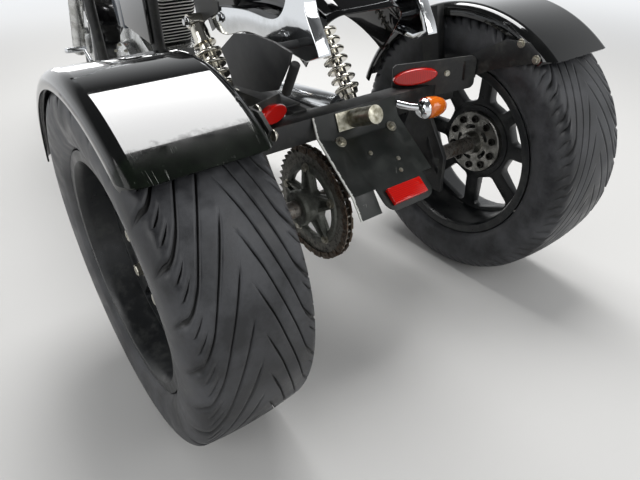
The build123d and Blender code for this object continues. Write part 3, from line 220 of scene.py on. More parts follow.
# Degrees round the wheel by which a groove leads its square end, at millimetres across the tread.
LEFT_COURSE = ((-100, 3.5), (-92, 0.6), (-86, 0.0), (-79, -2.0), (-70, -5.0), (-57, -14.0),
               (-38, -26.0), (-26, -34.0), (-13, -41.0), (0, -48.0))
RIGHT_COURSE = ((0, -48.0), (5, -45.5), (22, -37.5), (41, -28.5), (60, -18.7), (72, -14.5), (80, -12.5),
                (88, -12.0), (100, -10.0))
# Each groove of one pitch: its place in the pitch, where it starts and ends across, and its width.
LEFT_GROOVES = ((0.10, -100, -86, SIPE_WIDTH), (0.44, -100, -9, GROOVE_WIDTH),
                (0.74, -97, -77, SIPE_WIDTH))
RIGHT_GROOVES = ((0.22, 4, 100, GROOVE_WIDTH), (0.56, 67, 82, SIPE_WIDTH), (0.88, 67, 82, SIPE_WIDTH))
MM = 0.001

axle_low, axle_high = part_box("axle_shaft")
AXLE = (axle_low + axle_high) / 2 / MM


def riding(name, mesh, material, body, smooth=True):
    """A mesh made a piece that rides on a body and takes its finish from a slot."""
    mesh.polygons.foreach_set("use_smooth", [smooth] * len(mesh.polygons))
    mesh.materials.clear()
    mesh.materials.append(material)
    made = placed(name, mesh)
    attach(made, body)
    return made


def piece(name, points, faces, material, body, smooth=True):
    """A piece from points in millimetres and faces."""
    mesh = bpy.data.meshes.new(name)
    mesh.from_pydata([tuple(c * MM for c in p) for p in points], [], faces)
    mesh.validate()
    return riding(name, mesh, material, body, smooth)


def surface(name, colour="#808080", rough=0.5, metal=0.0, coat=0.0):
    """A new material with plain values, and its tree and shader for what varies over it."""
    material = bpy.data.materials.new(name)
    material.use_nodes = True
    shader = material.node_tree.nodes["Principled BSDF"]
    shader.inputs["Base Color"].default_value = linear(colour)
    shader.inputs["Roughness"].default_value = rough
    shader.inputs["Metallic"].default_value = metal
    shader.inputs["Coat Weight"].default_value = coat
    shader.inputs["Coat Roughness"].default_value = 0.03
    return material, material.node_tree, shader


def grain(tree, size_mm, detail=2.0, stretch=(1, 1, 1), rough=0.5):
    """Noise whose grains have a real size, in the object's own space."""
    scaled = add(tree, "ShaderNodeMapping", {"Vector": own_place(tree), "Scale": stretch})
    return add(tree, "ShaderNodeTexNoise", {"Vector": scaled.outputs[0], "Scale": 1 / (size_mm * MM),
                                            "Detail": detail, "Roughness": rough}).outputs["Fac"]


def ramp(tree, source, *stops):
    """A colour ramp from (place, hex colour) stops."""
    node = add(tree, "ShaderNodeValToRGB", {"Fac": source})
    while len(node.color_ramp.elements) < len(stops):
        node.color_ramp.elements.new(0.5)
    for element, (place, colour) in zip(node.color_ramp.elements, stops):
        element.position = place
        element.color = linear(colour)
    return node.outputs["Color"]


def span(tree, source, low, high, to_low=0.0, to_high=1.0):
    """A source between two values, spread over another range and held at its ends."""
    return add(tree, "ShaderNodeMapRange", {"Value": source, "From Min": low, "From Max": high,
                                            "To Min": to_low, "To Max": to_high}).outputs["Result"]


def bumps(tree, shader, source, height_mm):
    """Relief of a real height on a shader's normal."""
    bump = add(tree, "ShaderNodeBump", {"Height": source, "Distance": height_mm * MM})
    tree.links.new(bump.outputs["Normal"], shader.inputs["Normal"])


def varied(tree, shader, colour=None, rough=None, metal=None):
    """Lets the colour, roughness and metal of a surface vary by what drives each."""
    for name, source in (("Base Color", colour), ("Roughness", rough), ("Metallic", metal)):
        if source is not None:
            tree.links.new(source, shader.inputs[name])


def mixed(tree, low, high, share):
    """Two colours mixed by a share, 0 to 1."""
    node = add(tree, "ShaderNodeMix", {0: share}, data_type="RGBA")
    for index, value in ((6, low), (7, high)):
        if isinstance(value, str):
            node.inputs[index].default_value = linear(value)
        else:
            tree.links.new(value, node.inputs[index])
    return node.outputs[2]


# Vulcanised rubber: dull, near black, greyed by road dust that lies in patches. Down in the grooves
# its colour is darkened towards black by depth, as painted shade.
def vulcanised_rubber(name, dark, dusty):
    material, tree, shader = surface(name, dark, 0.7)
    patches = grain(tree, 60, 5.0, rough=0.62)
    colour = ramp(tree, patches, (0.38, dark), (0.68, dusty))
    # Painted shade: near black is mixed into the colour by each point's groove depth.
    groove_shade = add(tree, "ShaderNodeAttribute", attribute_name="groove").outputs["Fac"]
    varied(tree, shader, mixed(tree, colour, "#060606", groove_shade),
           span(tree, grain(tree, 30, 4.0), 0.3, 0.7, 0.32, 0.62))
    bumps(tree, shader, grain(tree, 1.6, 3.0), 0.12)
    return material


def between(course, at):
    """A course's value at a place, straight between its points."""
    return float(np.interp(at, [p[0] for p in course], [p[1] for p in course]))


def tyre_profile(radius, half, bead_radius, bead_half, crown, bulge_radius, rows_side, rows_crown):
    """Points (across, radius) from the left bead over the tread to the right one."""
    edge = radius - (half - crown) * SHOULDER_DROP
    points = []
    for i in range(rows_side):
        t = i / rows_side
        if t < 0.5:
            a = pi / 2 * (t / 0.5)
            points.append((-bead_half - (half - bead_half) * sin(a),
                           bulge_radius - (bulge_radius - bead_radius) * cos(a)))
        else:
            a = pi / 2 * ((t - 0.5) / 0.5)
            points.append((-half + (half - crown) * (1 - cos(a)),
                           bulge_radius + (edge - bulge_radius) * sin(a)))
    for i in range(rows_crown + 1):
        across = -crown + 2 * crown * i / rows_crown
        points.append((across, radius - (radius - edge) * (across / crown) ** 2))
    return points + [(-x, r) for x, r in points[:rows_side][::-1]]


def smooth_step(t):
    """A share from 0 to 1, eased at both ends."""
    t = min(1.0, max(0.0, t))
    return t * t * (3 - 2 * t)


def mark_groove_shade(tyre, sunk):
    """Notes on each point how far down a groove it lies, 0 to 1, for the painted shade in the rubber's
    colour.
    """
    tyre.data.attributes.new("groove", "FLOAT", "POINT").data.foreach_set("value", sunk)


def rear_tyre(name, side):
    """A tyre as rows across and columns round, whose columns follow the slope of the grooves."""
    rows = tyre_profile(TYRE_RADIUS, TYRE_WIDTH / 2, TYRE_BEAD_RADIUS, TYRE_BEAD_HALF, TREAD_HALF,
                        BULGE_RADIUS, SIDE_ROWS, TREAD_ROWS)
    pitch = 360 / TREAD_PITCHES
    per_degree = radians(1) * TYRE_RADIUS
    # The bare middle lies between where the left grooves end and the right ones start.
    left_end, right_start = LEFT_GROOVES[1][2], RIGHT_GROOVES[0][1]
    points, sunk, ring = [], [], 0
    for across, radius in rows:
        tread = radius > BULGE_RADIUS
        course = LEFT_COURSE if across < 0 else RIGHT_COURSE
        lead = between(course, across if tread else (course[0][0] if across < 0 else course[-1][0]))
        blend = smooth_step((across - left_end) / (right_start - left_end))
        columns = []
        for left, right_one in zip(LEFT_GROOVES, RIGHT_GROOVES):
            centre = left[0] * (1 - blend) + right_one[0] * blend
            start, end, width = (left if across < 0 else right_one)[1:]
            depth = 0.0
            if tread and start <= across <= end:
                run = GROOVE_END_RUN if width > SIPE_WIDTH else SIPE_END_RUN
                depth = smooth_step(min(across - start + 1, end - across + 1, LONGEST_RUN) / run)
                if abs(across) > SHOULDER:
                    depth *= 1 - SHOULDER_LOSS * smooth_step((abs(across) - SHOULDER) / SHOULDER_RUN)
            half = width / 2 / per_degree / pitch * (END_WIDTH + (1 - END_WIDTH) * depth)
            wall = GROOVE_WALL / per_degree / pitch
            columns += [(centre - half, 0), (centre - half + wall, depth), (centre, depth),
                        (centre + half - wall, depth), (centre + half, 0)]
        columns += [((columns[4][0] + columns[5][0]) / 2, 0), ((columns[9][0] + columns[10][0]) / 2, 0)]
        columns.sort()
        columns.append(((columns[-1][0] + 1 + columns[0][0]) / 2, 0))
        ring = len(columns) * TREAD_PITCHES
        ridge = 0.0
        if not tread:
            ridge = sum(high * max(0.0, 1 - abs(radius - at) / half) for at, high, half in SIDEWALL_RINGS)
        for k in range(TREAD_PITCHES):
            for place, depth in columns:
                angle = radians((k + place) * pitch + lead)
                r = radius - GROOVE_DEPTH * depth
                outward = ridge if across > 0 else -ridge
                points.append((side * (across + outward), r * sin(-angle), r * cos(angle)))
                sunk.append(depth)
    faces = []
    for row in range(len(rows) - 1):
        for i in range(ring):
            j = (i + 1) % ring
            corners = (row * ring + i, row * ring + j, (row + 1) * ring + j, (row + 1) * ring + i)
            faces.append(corners[::-side])
    centre = Vector((side * TRACK_HALF, AXLE.y, AXLE.z))
    made = piece(name, [Vector(p) + centre for p in points], faces, REAR_RUBBER, "rear_axle")
    mark_groove_shade(made, sunk)
    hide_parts(name)


tyre_low, tyre_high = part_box("rear_tyre_r")
TRACK_HALF = (tyre_low.x + tyre_high.x) / 2 / MM
REAR_RUBBER = vulcanised_rubber("vulcanised_rubber", "#1B1C1F", "#46474A")
rear_tyre("rear_tyre_r", 1)
rear_tyre("rear_tyre_l", -1)


# Rear wheels: cast alloy car wheels in satin charcoal paint, with eight round-edged spokes and a
# deep barrel. Their own edges are soft, as cast metal is, and dust greys the flats.
WHEEL_EDGE = 3.2
FLAT_WITHIN = radians(0.6)
SHARP_ABOVE = radians(35)
SMOOTH_BELOW = radians(40)


def chosen(node, material):
    """Gives a solid that stays in view its finish."""
    for slot in frame["nodes"][node].material_slots:
        slot.material = material


def softened(node, radius, material, steps=2):
    """The node's own form with its sharp edges rounded by a radius in millimetres, in its place."""
    form = bmesh.new()
    form.from_mesh(frame["nodes"][node].data)
    bmesh.ops.remove_doubles(form, verts=form.verts, dist=0.02 * MM)
    bmesh.ops.dissolve_limit(form, angle_limit=FLAT_WITHIN, verts=form.verts, edges=form.edges)
    edges = [e for e in form.edges if e.is_manifold and e.calc_face_angle() > SHARP_ABOVE]
    bmesh.ops.bevel(form, geom=edges, offset=radius * MM, offset_type="OFFSET", segments=steps, profile=0.5,
                    affect="EDGES", clamp_overlap=True)
    bmesh.ops.triangulate(form, faces=[f for f in form.faces if len(f.verts) > 4])
    for edge in form.edges:
        edge.smooth = not edge.is_manifold or edge.calc_face_angle() < SMOOTH_BELOW
    mesh = bpy.data.meshes.new(node + "_soft_edges")
    form.to_mesh(mesh)
    form.free()
    made = riding(node + "_soft_edges", mesh, material, frame["nodes"][node]["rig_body"])
    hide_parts(node)
    return made


# Baked satin enamel over cast metal: half gloss, a fine cast grain, pale dust in patches.
def cast_enamel(name, paint, dust, rough=0.3):
    material, tree, shader = surface(name, paint, rough)
    dirt = grain(tree, 45, 6.0, rough=0.68)
    varied(tree, shader, mixed(tree, paint, dust, span(tree, dirt, 0.5, 0.8, 0.0, 0.75)),
           span(tree, dirt, 0.3, 0.75, rough - 0.08, rough + 0.3))
    bumps(tree, shader, grain(tree, 2.2, 3.0), 0.1)
    return material


WHEEL_ENAMEL = cast_enamel("charcoal_enamel", "#16181A", "#4B4C49")
for wheel in ("rear_wheel_l", "rear_wheel_r"):
    softened(wheel, WHEEL_EDGE, WHEEL_ENAMEL)


# Wheel nuts: five plated hexagons with washers on each wheel's outer side, round the axle. They
# clamp the wheel's pad to its hub adapter.
WHEEL_NUTS, FIRST_NUT = 5, 36.0
NUT_CIRCLE = 62.0
NUT_FACE = 36.3
NUT_FLATS = 19.0
NUT_HEIGHT = 14.0
NUT_CHAMFER = 1.2
WASHER_THICKNESS, WASHER_EDGE = 2.0, 1.6


# Zinc-plated steel: pale, half bright, with a faint yellow and grey bloom.
def zinc_plate(name, bright, dull, rough=0.32):
    material, tree, shader = surface(name, bright, rough, 1.0)
    bloom = grain(tree, 9, 5.0)
    varied(tree, shader, ramp(tree, bloom, (0.35, bright), (0.7, dull)),
           span(tree, bloom, 0.3, 0.7, rough - 0.06, rough + 0.2))
    return material


def turned_form(points, faces, centre, out, rows, steps):
    """Adds a turned form about a direction to a mesh: rows are (along, radius) in millimetres."""
    centre, out = Vector(centre), Vector(out).normalized()
    side = out.orthogonal().normalized()
    up = out.cross(side)
    start = len(points)
    for along, radius in rows:
        for i in range(steps):
            a = 2 * pi * i / steps
            points.append(centre + out * along + (side * cos(a) + up * sin(a)) * max(radius, 0.02))
    for row in range(start, start + (len(rows) - 1) * steps, steps):
        for i in range(steps):
            j = (i + 1) % steps
            faces.append((row + i, row + j, row + steps + j, row + steps + i))


def bolts(name, places, across, height, material, body, washer=1.6, stacks=None):
    """Hexagon heads on washers, or turned stacks: places are (point, direction) pairs in millimetres."""
    radius = across / 2 / cos(pi / 6)
    wide = radius * washer
    washer_rows = ((0.0, wide), (WASHER_EDGE, wide), (WASHER_THICKNESS, wide * 0.96), (WASHER_THICKNESS, 0.1))
    head_rows = ((1.9, radius), (height - NUT_CHAMFER, radius), (height, radius * 0.88), (height, 0.1))
    hexagon = ((24, washer_rows), (6, head_rows))
    points, faces = [], []
    for centre, out in places:
        for steps, rows in stacks or hexagon:
            turned_form(points, faces, centre, out, rows, steps)
    return piece(name, points, faces, material, body, smooth=False)


def places_round(x, centre, radius, count, first, out):
    """Even places round a line across the vehicle from a first angle, for fixings that point along it."""
    turns = [radians(first + 360 * i / count) for i in range(count)]
    return [((x, centre.y + radius * cos(a), centre.z + radius * sin(a)), (out, 0, 0)) for a in turns]


ZINC = zinc_plate("zinc_plate", "#C9C6BB", "#8F8B7A")
nut_places = []
for side in (-1, 1):
    nut_places += places_round(side * (TRACK_HALF + NUT_FACE), AXLE, NUT_CIRCLE, WHEEL_NUTS, FIRST_NUT, side)
bolts("wheel_nuts", nut_places, NUT_FLATS, NUT_HEIGHT, ZINC, "rear_axle")


def from_point(tree, centre):
    """Where a spot lies from a point given in millimetres."""
    return add(tree, "ShaderNodeVectorMath", {0: own_place(tree), 1: Vector(centre) * MM},
               operation="SUBTRACT").outputs[0]


def product(tree, *shares):
    """Several shares multiplied together."""
    total = shares[0]
    for share in shares[1:]:
        total = maths(tree, "MULTIPLY", total, share)
    return total


# Hub adapters: turned from thick alloy plate, with a ring of drilled holes. Turning leaves fine
# rings that catch the light, and grease has crept out from the bore.
def turned_alloy(name, bright, dull, centre, ring_mm=1.2):
    material, tree, shader = surface(name, bright, 0.3, 1.0)
    flat = add(tree, "ShaderNodeVectorMath", {0: from_point(tree, centre), 1: (0, 1, 1)},
               operation="MULTIPLY").outputs[0]
    away = add(tree, "ShaderNodeVectorMath", {0: flat}, operation="LENGTH").outputs["Value"]
    rings = maths(tree, "SINE", product(tree, away, 2 * pi / (ring_mm * MM)))
    grime = grain(tree, 22, 5.0, rough=0.65)
    varied(tree, shader, ramp(tree, grime, (0.4, bright), (0.72, dull)),
           span(tree, grime, 0.35, 0.75, 0.22, 0.55))
    bumps(tree, shader, rings, 0.05)
    return material


chosen("hub_adapters", turned_alloy("turned_alloy", "#A9A8A3", "#5E5D58", AXLE))

# Adapter screws: ten socket heads of black oxide steel in the ring of holes, which hold each adapter
# to its wheel. Each is a turned head, its sides given first, round a six-sided socket.
ADAPTER_THICKNESS = 14.0
ADAPTER_SCREWS, FIRST_SCREW = 10, 90.0
SCREW_CIRCLE = 59.0
SCREW_WIDTH, SCREW_HEIGHT = 17.2, 5.6
SOCKET_SCREW = ((20, ((0.0, 8.6), (4.8, 8.6), (SCREW_HEIGHT, 7.8), (SCREW_HEIGHT, 4.4))),
                (6, ((SCREW_HEIGHT, 4.4), (1.6, 4.4), (1.6, 0.1))))
adapter_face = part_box("hub_adapters")[1][0] / MM - ADAPTER_THICKNESS
screw_places = []
for side in (-1, 1):
    screw_places += places_round(side * adapter_face, AXLE, SCREW_CIRCLE, ADAPTER_SCREWS, FIRST_SCREW, -side)
OXIDE_STEEL = zinc_plate("black_oxide_steel", "#3C3B39", "#22211F", 0.42)
bolts("adapter_screws", screw_places, SCREW_WIDTH, SCREW_HEIGHT, OXIDE_STEEL, "rear_axle",
      stacks=SOCKET_SCREW)


# Rear fenders: rolled sheet steel, sprayed gloss black and cleared. The paint mirrors the sky; the
# left one is scuffed through to bare metal along its rear end.
FENDER_RADIUS = 333.0
FENDER_DROP = 6.0
# In degrees back from the band's top: where the scuffs start, the run over which they thicken, how far
# noise frays their edge, and the middle of that fray.
SCUFF_START = 31.5
SCUFF_BLEND = 3.0
SCUFF_FRAY, FRAY_MIDDLE = 9.0, 4.4
fender_centre = Vector((0, AXLE.y, AXLE.z - FENDER_DROP))


def gloss_enamel(name, paint, rough=0.04):
    """Sprayed black under clear coat: a mirror with faint ripple, and a film of settled dust."""
    material, tree, shader = surface(name, paint, rough, coat=1.0)
    shader.inputs["Coat IOR"].default_value = 1.5
    shader.inputs["Specular IOR Level"].default_value = 0.25
    dust = grain(tree, 120, 6.0, rough=0.6)
    colour = mixed(tree, paint, "#3A3B38", span(tree, dust, 0.55, 0.85, 0.0, 0.22))
    shine = span(tree, dust, 0.4, 0.8, rough, rough + 0.16)
    varied(tree, shader, colour, shine)
    return material, tree, shader, colour, shine


def scratches(tree, vector, spacing_mm, width, angle, stretch=14.0):
    """Fine straight scratches: cell edges of a pattern stretched along one direction."""
    turned_place = add(tree, "ShaderNodeMapping", {"Vector": vector, "Rotation": (0, 0, angle),
                                                   "Scale": (1.0, 1 / stretch, 1.0)}).outputs[0]
    cells = add(tree, "ShaderNodeTexVoronoi", {"Vector": turned_place, "Scale": 1 / (spacing_mm * MM)},
                feature="DISTANCE_TO_EDGE").outputs["Distance"]
    return span(tree, cells, 0.0, width, 1.0, 0.0)


def unrolled(tree, centre):
    """The band laid flat: across it, and along its length in the same unit."""
    parts = add(tree, "ShaderNodeSeparateXYZ", {0: from_point(tree, centre)}).outputs
    turn = maths(tree, "ARCTAN2", parts["Y"], parts["Z"])
    along = product(tree, turn, FENDER_RADIUS * MM)
    flat = add(tree, "ShaderNodeCombineXYZ", {"X": parts["X"], "Y": along}).outputs[0]
    return flat, turn


paint, tree, shader, colour, shine = gloss_enamel("gloss_black_enamel", "#050606")
flat, turn = unrolled(tree, fender_centre)
ragged = maths(tree, "MULTIPLY_ADD", grain(tree, 26, 6.0, rough=0.75), radians(SCUFF_FRAY), turn)
scuff_edge = FRAY_MIDDLE - SCUFF_START
scuffed = span(tree, ragged, radians(scuff_edge), radians(scuff_edge - SCUFF_BLEND))
left_side = span(tree, add(tree, "ShaderNodeSeparateXYZ", {0: flat}).outputs["X"], -0.05, 0.05, 1.0, 0.0)
scuffed = product(tree, scuffed, left_side)
dull_paint = ramp(tree, grain(tree, 14, 6.0, rough=0.75), (0.35, "#060806"), (0.66, "#10160F"),
                  (0.71, "#7E847C"))
marks = maths(tree, "MAXIMUM", scratches(tree, flat, 18, 0.008, 0.5), scratches(tree, flat, 31, 0.006, -0.9))
bare = product(tree, marks, scuffed, span(tree, grain(tree, 40, 3.0), 0.5, 0.64, 0.0, 0.8))
varied(tree, shader, mixed(tree, mixed(tree, colour, dull_paint, scuffed), "#C9CCC6", bare),
       maths(tree, "MULTIPLY_ADD", scuffed, 0.12, shine))
tree.links.new(span(tree, scuffed, 0.0, 1.0, 1.0, 0.0), shader.inputs["Coat Weight"])
bumps(tree, shader, bare, 0.05)
chosen("rear_fenders", paint)
GLOSS_BLACK = gloss_enamel("gloss_black_bodywork", "#060607")[0]

# Fender screws: small plated bolts with washers along each inner skirt, where the stays hold the
# band. Each stands at an angle back or ahead of the band's top.
FENDER_SCREW_ANGLES = (-36, -28, 12, 17)
FENDER_SCREW_INSET = 16.0
SKIRT_FACE = 108.5
screw_places = []
for side in (-1, 1):
    for angle in FENDER_SCREW_ANGLES:
        radius = FENDER_RADIUS - FENDER_SCREW_INSET
        point = (side * (TRACK_HALF - SKIRT_FACE), fender_centre.y + radius * sin(radians(angle)),
                 fender_centre.z + radius * cos(radians(angle)))
        screw_places.append((point, (-side, 0, 0)))
bolts("fender_screws", screw_places, 9.0, 6.0, ZINC, "chassis")


# Frames, brackets and guards: folded and welded steel in satin black, brushed on by hand. Grit has
# worn the edges and left rust and pale dust on the flats.
def satin_steel(name, paint, dust="#55554F", rust="#4A2D1C", rough=0.42):
    material, tree, shader = surface(name, paint, rough)
    dirt = grain(tree, 38, 6.0, rough=0.7)
    colour = mixed(tree, paint, dust, span(tree, dirt, 0.48, 0.8, 0.0, 0.6))
    spots = span(tree, grain(tree, 12, 6.0, rough=0.8), 0.66, 0.72)
    varied(tree, shader, mixed(tree, colour, rust, spots),
           span(tree, dirt, 0.3, 0.75, rough - 0.1, rough + 0.3))
    bumps(tree, shader, grain(tree, 3.0, 4.0), 0.12)
    return material


SATIN_STEEL = satin_steel("satin_black_steel", "#141516")
STEEL_EDGES = {"rear_frame": 2.5, "axle_carriers": 1.2, "fender_brackets": 1.2, "chain_guard": 0.8}
for node, radius in STEEL_EDGES.items():
    softened(node, radius, SATIN_STEEL)
chosen("frame", SATIN_STEEL)

# Number panel: folded sheet steel in dark green-black paint, dusty, chipped to bright metal along
# its left edge and scratched across the middle. Two bolts stand in its holes for a plate.
PANEL_HALF = 101.0
PANEL_THICKNESS = 3.0
CHIPPED_EDGE = 11.0
TOP_BEND = Vector((-22.0, 449.0))
LOW_BEND = Vector((-124.0, 370.0))
HOLES = (-58.0, 69.0)
HOLE_DOWN = 20.0
# The small screws: each to the right of the middle, and down from the upper bend.
SMALL_SCREWS = ((40.0, 88.0), (-12.0, 60.0), (30.0, 112.0))
panel_slope = atan2(TOP_BEND[1] - LOW_BEND[1], TOP_BEND[0] - LOW_BEND[0])
panel_out = Vector((0, -sin(panel_slope), cos(panel_slope)))
panel_down = Vector((0, -cos(panel_slope), -sin(panel_slope)))


def on_panel(x, down):
    """A point on the panel's sloping face, x to the right and down from its upper bend."""
    return Vector((x, AXLE.y + TOP_BEND[0], TOP_BEND[1])) + panel_down * down + panel_out * PANEL_THICKNESS


paint, tree, shader = surface("dusty_green_black_paint", "#151B18", 0.4)
place = own_place(tree)
parts = add(tree, "ShaderNodeSeparateXYZ", {0: place}).outputs
dust = grain(tree, 55, 7.0, rough=0.72)
colour = mixed(tree, "#0E1310", "#3C423C", span(tree, dust, 0.5, 0.85, 0.0, 0.5))
near_left = span(tree, parts["X"], -PANEL_HALF * MM, (-PANEL_HALF + CHIPPED_EDGE) * MM, 1.0, 0.0)
edge_chips = span(tree, maths(tree, "ADD", near_left, grain(tree, 7, 6.0, rough=0.8)), 1.18, 1.24)
loose_chips = span(tree, grain(tree, 9, 5.0, rough=0.85), 0.735, 0.76)
streak = product(tree, scratches(tree, place, 70, 0.006, 0.35, 6.0),
                 span(tree, grain(tree, 30, 3.0), 0.6, 0.68, 0.0, 0.7))
chipped = maths(tree, "MAXIMUM", maths(tree, "MAXIMUM", edge_chips, loose_chips), streak)
varied(tree, shader, mixed(tree, colour, "#D9DAD4", chipped), span(tree, dust, 0.3, 0.75, 0.28, 0.62))
bumps(tree, shader, chipped, 0.15)
softened("panel", 0.9, paint)
holes = [(on_panel(x, HOLE_DOWN), panel_out) for x in HOLES]
bolts("panel_bolts", holes, 10.0, 8.5, ZINC, "chassis", 1.9)
small = [(on_panel(x, down), panel_out) for x, down in SMALL_SCREWS]
bolts("panel_screws", small, 6.0, 3.6, ZINC, "chassis", 1.3)

# Plate lamp: a steel tube on a foot that stands square on the panel's upper flange. Its zinc is
# passivated yellow, and dulled where hands and water reach it.
YELLOW_ZINC = zinc_plate("yellow_passivated_zinc", "#B5B2A4", "#7E7A68", 0.34)
softened("plate_lamp", 1.6, YELLOW_ZINC, steps=3)


# Reflector and marker lenses: moulded clear red plastic with prisms behind the face. The prisms'
# glints are painted in as a fine grid of lighter red.
def moulded_lens(name, colour, prism_glint, prism_mm=2.4):
    material, tree, shader = surface(name, colour, 0.08, coat=0.6)
    cells = add(tree, "ShaderNodeTexVoronoi", {"Vector": own_place(tree), "Scale": 1 / (prism_mm * MM),
                                               "Randomness": 0.0}, feature="F1").outputs["Distance"]
    # Painted highlight: the colour turns lighter towards each prism cell's edge, for the prisms' glints.
    varied(tree, shader, ramp(tree, cells, (0.15, colour), (0.95, prism_glint)))
    bumps(tree, shader, cells, 0.08)
    return material


# The lighter red is the prisms' painted glint.
RED_LENS = moulded_lens("moulded_red_lens", "#A80703", "#DC1609")
softened("reflector", 1.6, RED_LENS, steps=3)
chosen("marker_lenses", RED_LENS)

# Marker screws: one small plated bolt beside each marker lens, in the plate that carries both. The
# plate's face starts over the crossbeam and leans back as it goes out.
MARKER_ANGLE = radians(-32)
MARKER_START = (140, 38, 510)
MARKER_SCREW_ALONG = 114
MARKER_FACE = 5.2
marker_along = Vector((cos(MARKER_ANGLE), sin(MARKER_ANGLE), 0))
marker_out = Vector((marker_along.y, -marker_along.x, 0))
on_face = Vector((0, AXLE.y, 0)) + Vector(MARKER_START) + marker_along * MARKER_SCREW_ALONG
point = on_face + marker_out * MARKER_FACE
marker_places = [((point.x * side, point.y, point.z), (marker_out.x * side, marker_out.y, 0))
                 for side in (-1, 1)]
bolts("marker_screws", marker_places, 9.0, 6.0, ZINC, "chassis", 1.2)


# Chain, sprocket and axle: hardened steel, left bare and oiled. Old lubricant has turned dark and
# gummy with grit, and rust shows where it has dried off.
def oiled_steel(name, bright, grease, rust, rusty=0.6):
    material, tree, shader = surface(name, bright, 0.42, 0.85)
    patches = grain(tree, 16, 6.0, rough=0.75)
    colour = mixed(tree, bright, rust, span(tree, patches, rusty - 0.12, rusty + 0.08))
    grime = grain(tree, 7, 5.0, rough=0.7)
    varied(tree, shader, mixed(tree, colour, grease, span(tree, grime, 0.48, 0.62, 0.0, 0.85)),
           span(tree, patches, 0.3, 0.7, 0.32, 0.67), span(tree, grime, 0.45, 0.6, 0.9, 0.15))
    bumps(tree, shader, grime, 0.2)
    return material


chosen("chain", oiled_steel("oiled_chain_steel", "#7E7366", "#171513", "#4E3626", 0.56))
chosen("sprocket", oiled_steel("greasy_sprocket_steel", "#8C8A83", "#21211E", "#54483B", 0.66))
softened("axle_shaft", 1.5, oiled_steel("oiled_axle_steel", "#8E8A84", "#26231F", "#5F4632"))


# Sprocket carrier: rough cast alloy with a turned boss, coated in grey road dirt and old grease. Five
# plated bolts hold the sprocket to its arms.
CARRIER_BOLTS, FIRST_BOLT = 5, 12.0
BOLT_CIRCLE = 77.0
CARRIER_BOLT_FACE = -105.6


def cast_alloy(name, alloy, grime, share, rough=0.5):
    material, tree, shader = surface(name, alloy, rough, 0.9)
    dirt = grain(tree, 28, 6.0, rough=0.72)
    film = span(tree, dirt, share - 0.14, share + 0.14, 0.0, 0.9)
    varied(tree, shader, mixed(tree, alloy, grime, film),
           span(tree, dirt, 0.3, 0.75, rough - 0.14, rough + 0.25),
           span(tree, dirt, share - 0.14, share + 0.14, 0.95, 0.25))
    bumps(tree, shader, grain(tree, 2.0, 3.0), 0.15)
    return material


softened("sprocket_carrier", 1.6, cast_alloy("greasy_cast_alloy", "#8F918B", "#4C4E46", 0.46))
bolts("sprocket_bolts", places_round(CARRIER_BOLT_FACE, AXLE, BOLT_CIRCLE, CARRIER_BOLTS, FIRST_BOLT, -1),
      13.0, 7.0, ZINC, "rear_axle", 1.3)


# Shocks, struts and sissy bar: steel tube, rod and forgings, polished and chrome plated. The plate
# mirrors everything, with a haze of water spots and a few freckles of rust.
STRUT_BOLT_FACE, STRUT_BOLT_HEIGHT = 134.2, 627
STRUT_BOLTS_AHEAD = (20, 240)
# The shocks' upper and lower bolts: out from the middle, ahead of the axle, up, and pointing out or in.
SHOCK_BOLTS = ((167.2, 325, 612, 1), (132.6, 161, 396, -1))


def chrome_plate(name, tone="#E4E6E8", haze=0.12, freckles=0.78):
    material, tree, shader = surface(name, tone, 0.06, 1.0)
    film = grain(tree, 50, 5.0, rough=0.65)
    spots = span(tree, grain(tree, 5, 6.0, rough=0.8), freckles, freckles + 0.04)
    hazy = mixed(tree, tone, "#A8A9A6", span(tree, film, 0.5, 0.85, 0.0, 0.5))
    varied(tree, shader, mixed(tree, hazy, "#5B4030", spots), span(tree, film, 0.35, 0.8, 0.04, 0.04 + haze))
    return material


CHROME = chrome_plate("polished_chrome_plate")
chosen("shocks", chrome_plate("dulled_chrome_plate", "#D9D5CA", haze=0.3, freckles=0.7))
softened("struts", 2.2, CHROME, steps=3)
chosen("sissy_bar", CHROME)
strut_places, shock_places = [], []
for side in (-1, 1):
    for along in STRUT_BOLTS_AHEAD:
        strut_places.append(((side * STRUT_BOLT_FACE, AXLE.y + along, STRUT_BOLT_HEIGHT), (side, 0, 0)))
    for face, along, up, facing_out in SHOCK_BOLTS:
        shock_places.append(((side * face, AXLE.y + along, up), (side * facing_out, 0, 0)))
bolts("strut_bolts", strut_places, 13.0, 7.0, CHROME, "chassis", 1.35)
bolts("shock_bolts", shock_places, 14.0, 9.0, CHROME, "chassis", 1.3)


# Splash guard and peg: moulded black plastic and rubber with a fine leather-like texture. The guard
# stands beside the chain on two spacers, with the passenger's peg folded up behind it.
def moulded_plastic(name, colour, rough=0.55):
    material, tree, shader = surface(name, colour, rough)
    dust = span(tree, grain(tree, 60, 6.0, rough=0.65), 0.45, 0.8, 0.0, 0.6)
    varied(tree, shader, mixed(tree, colour, "#3E3E3C", dust))
    bumps(tree, shader, grain(tree, 1.4, 2.0), 0.1)
    return material


softened("splash_guard", 1.4, moulded_plastic("moulded_black_plastic", "#17181A"))
peg_rubber = moulded_plastic("moulded_peg_rubber", "#141414", 0.75)
softened("passenger_peg", 2.4, peg_rubber, steps=3)


# Rear indicator: a spun chrome cup that carries a moulded amber lens, on a bent chrome stem from the
# crossbeam. Cup and lens are rows along the lamp and out from its middle line.
BULLET_CUP = ((-34.2, 0), (-34.2, 10), (-32, 14), (-28, 18.4), (-23, 21.4), (-18, 22.6), (-16.6, 22.2),
              (-16.6, 20.4), (-20, 20), (-20, 0))
BULLET_LENS = ((-19, 20.2), (-16, 20.2), (-15.4, 21.8), (-8, 22), (2, 21.6), (12, 20), (20, 17.2),
               (27, 12.6), (32.4, 6), (34.2, 0))
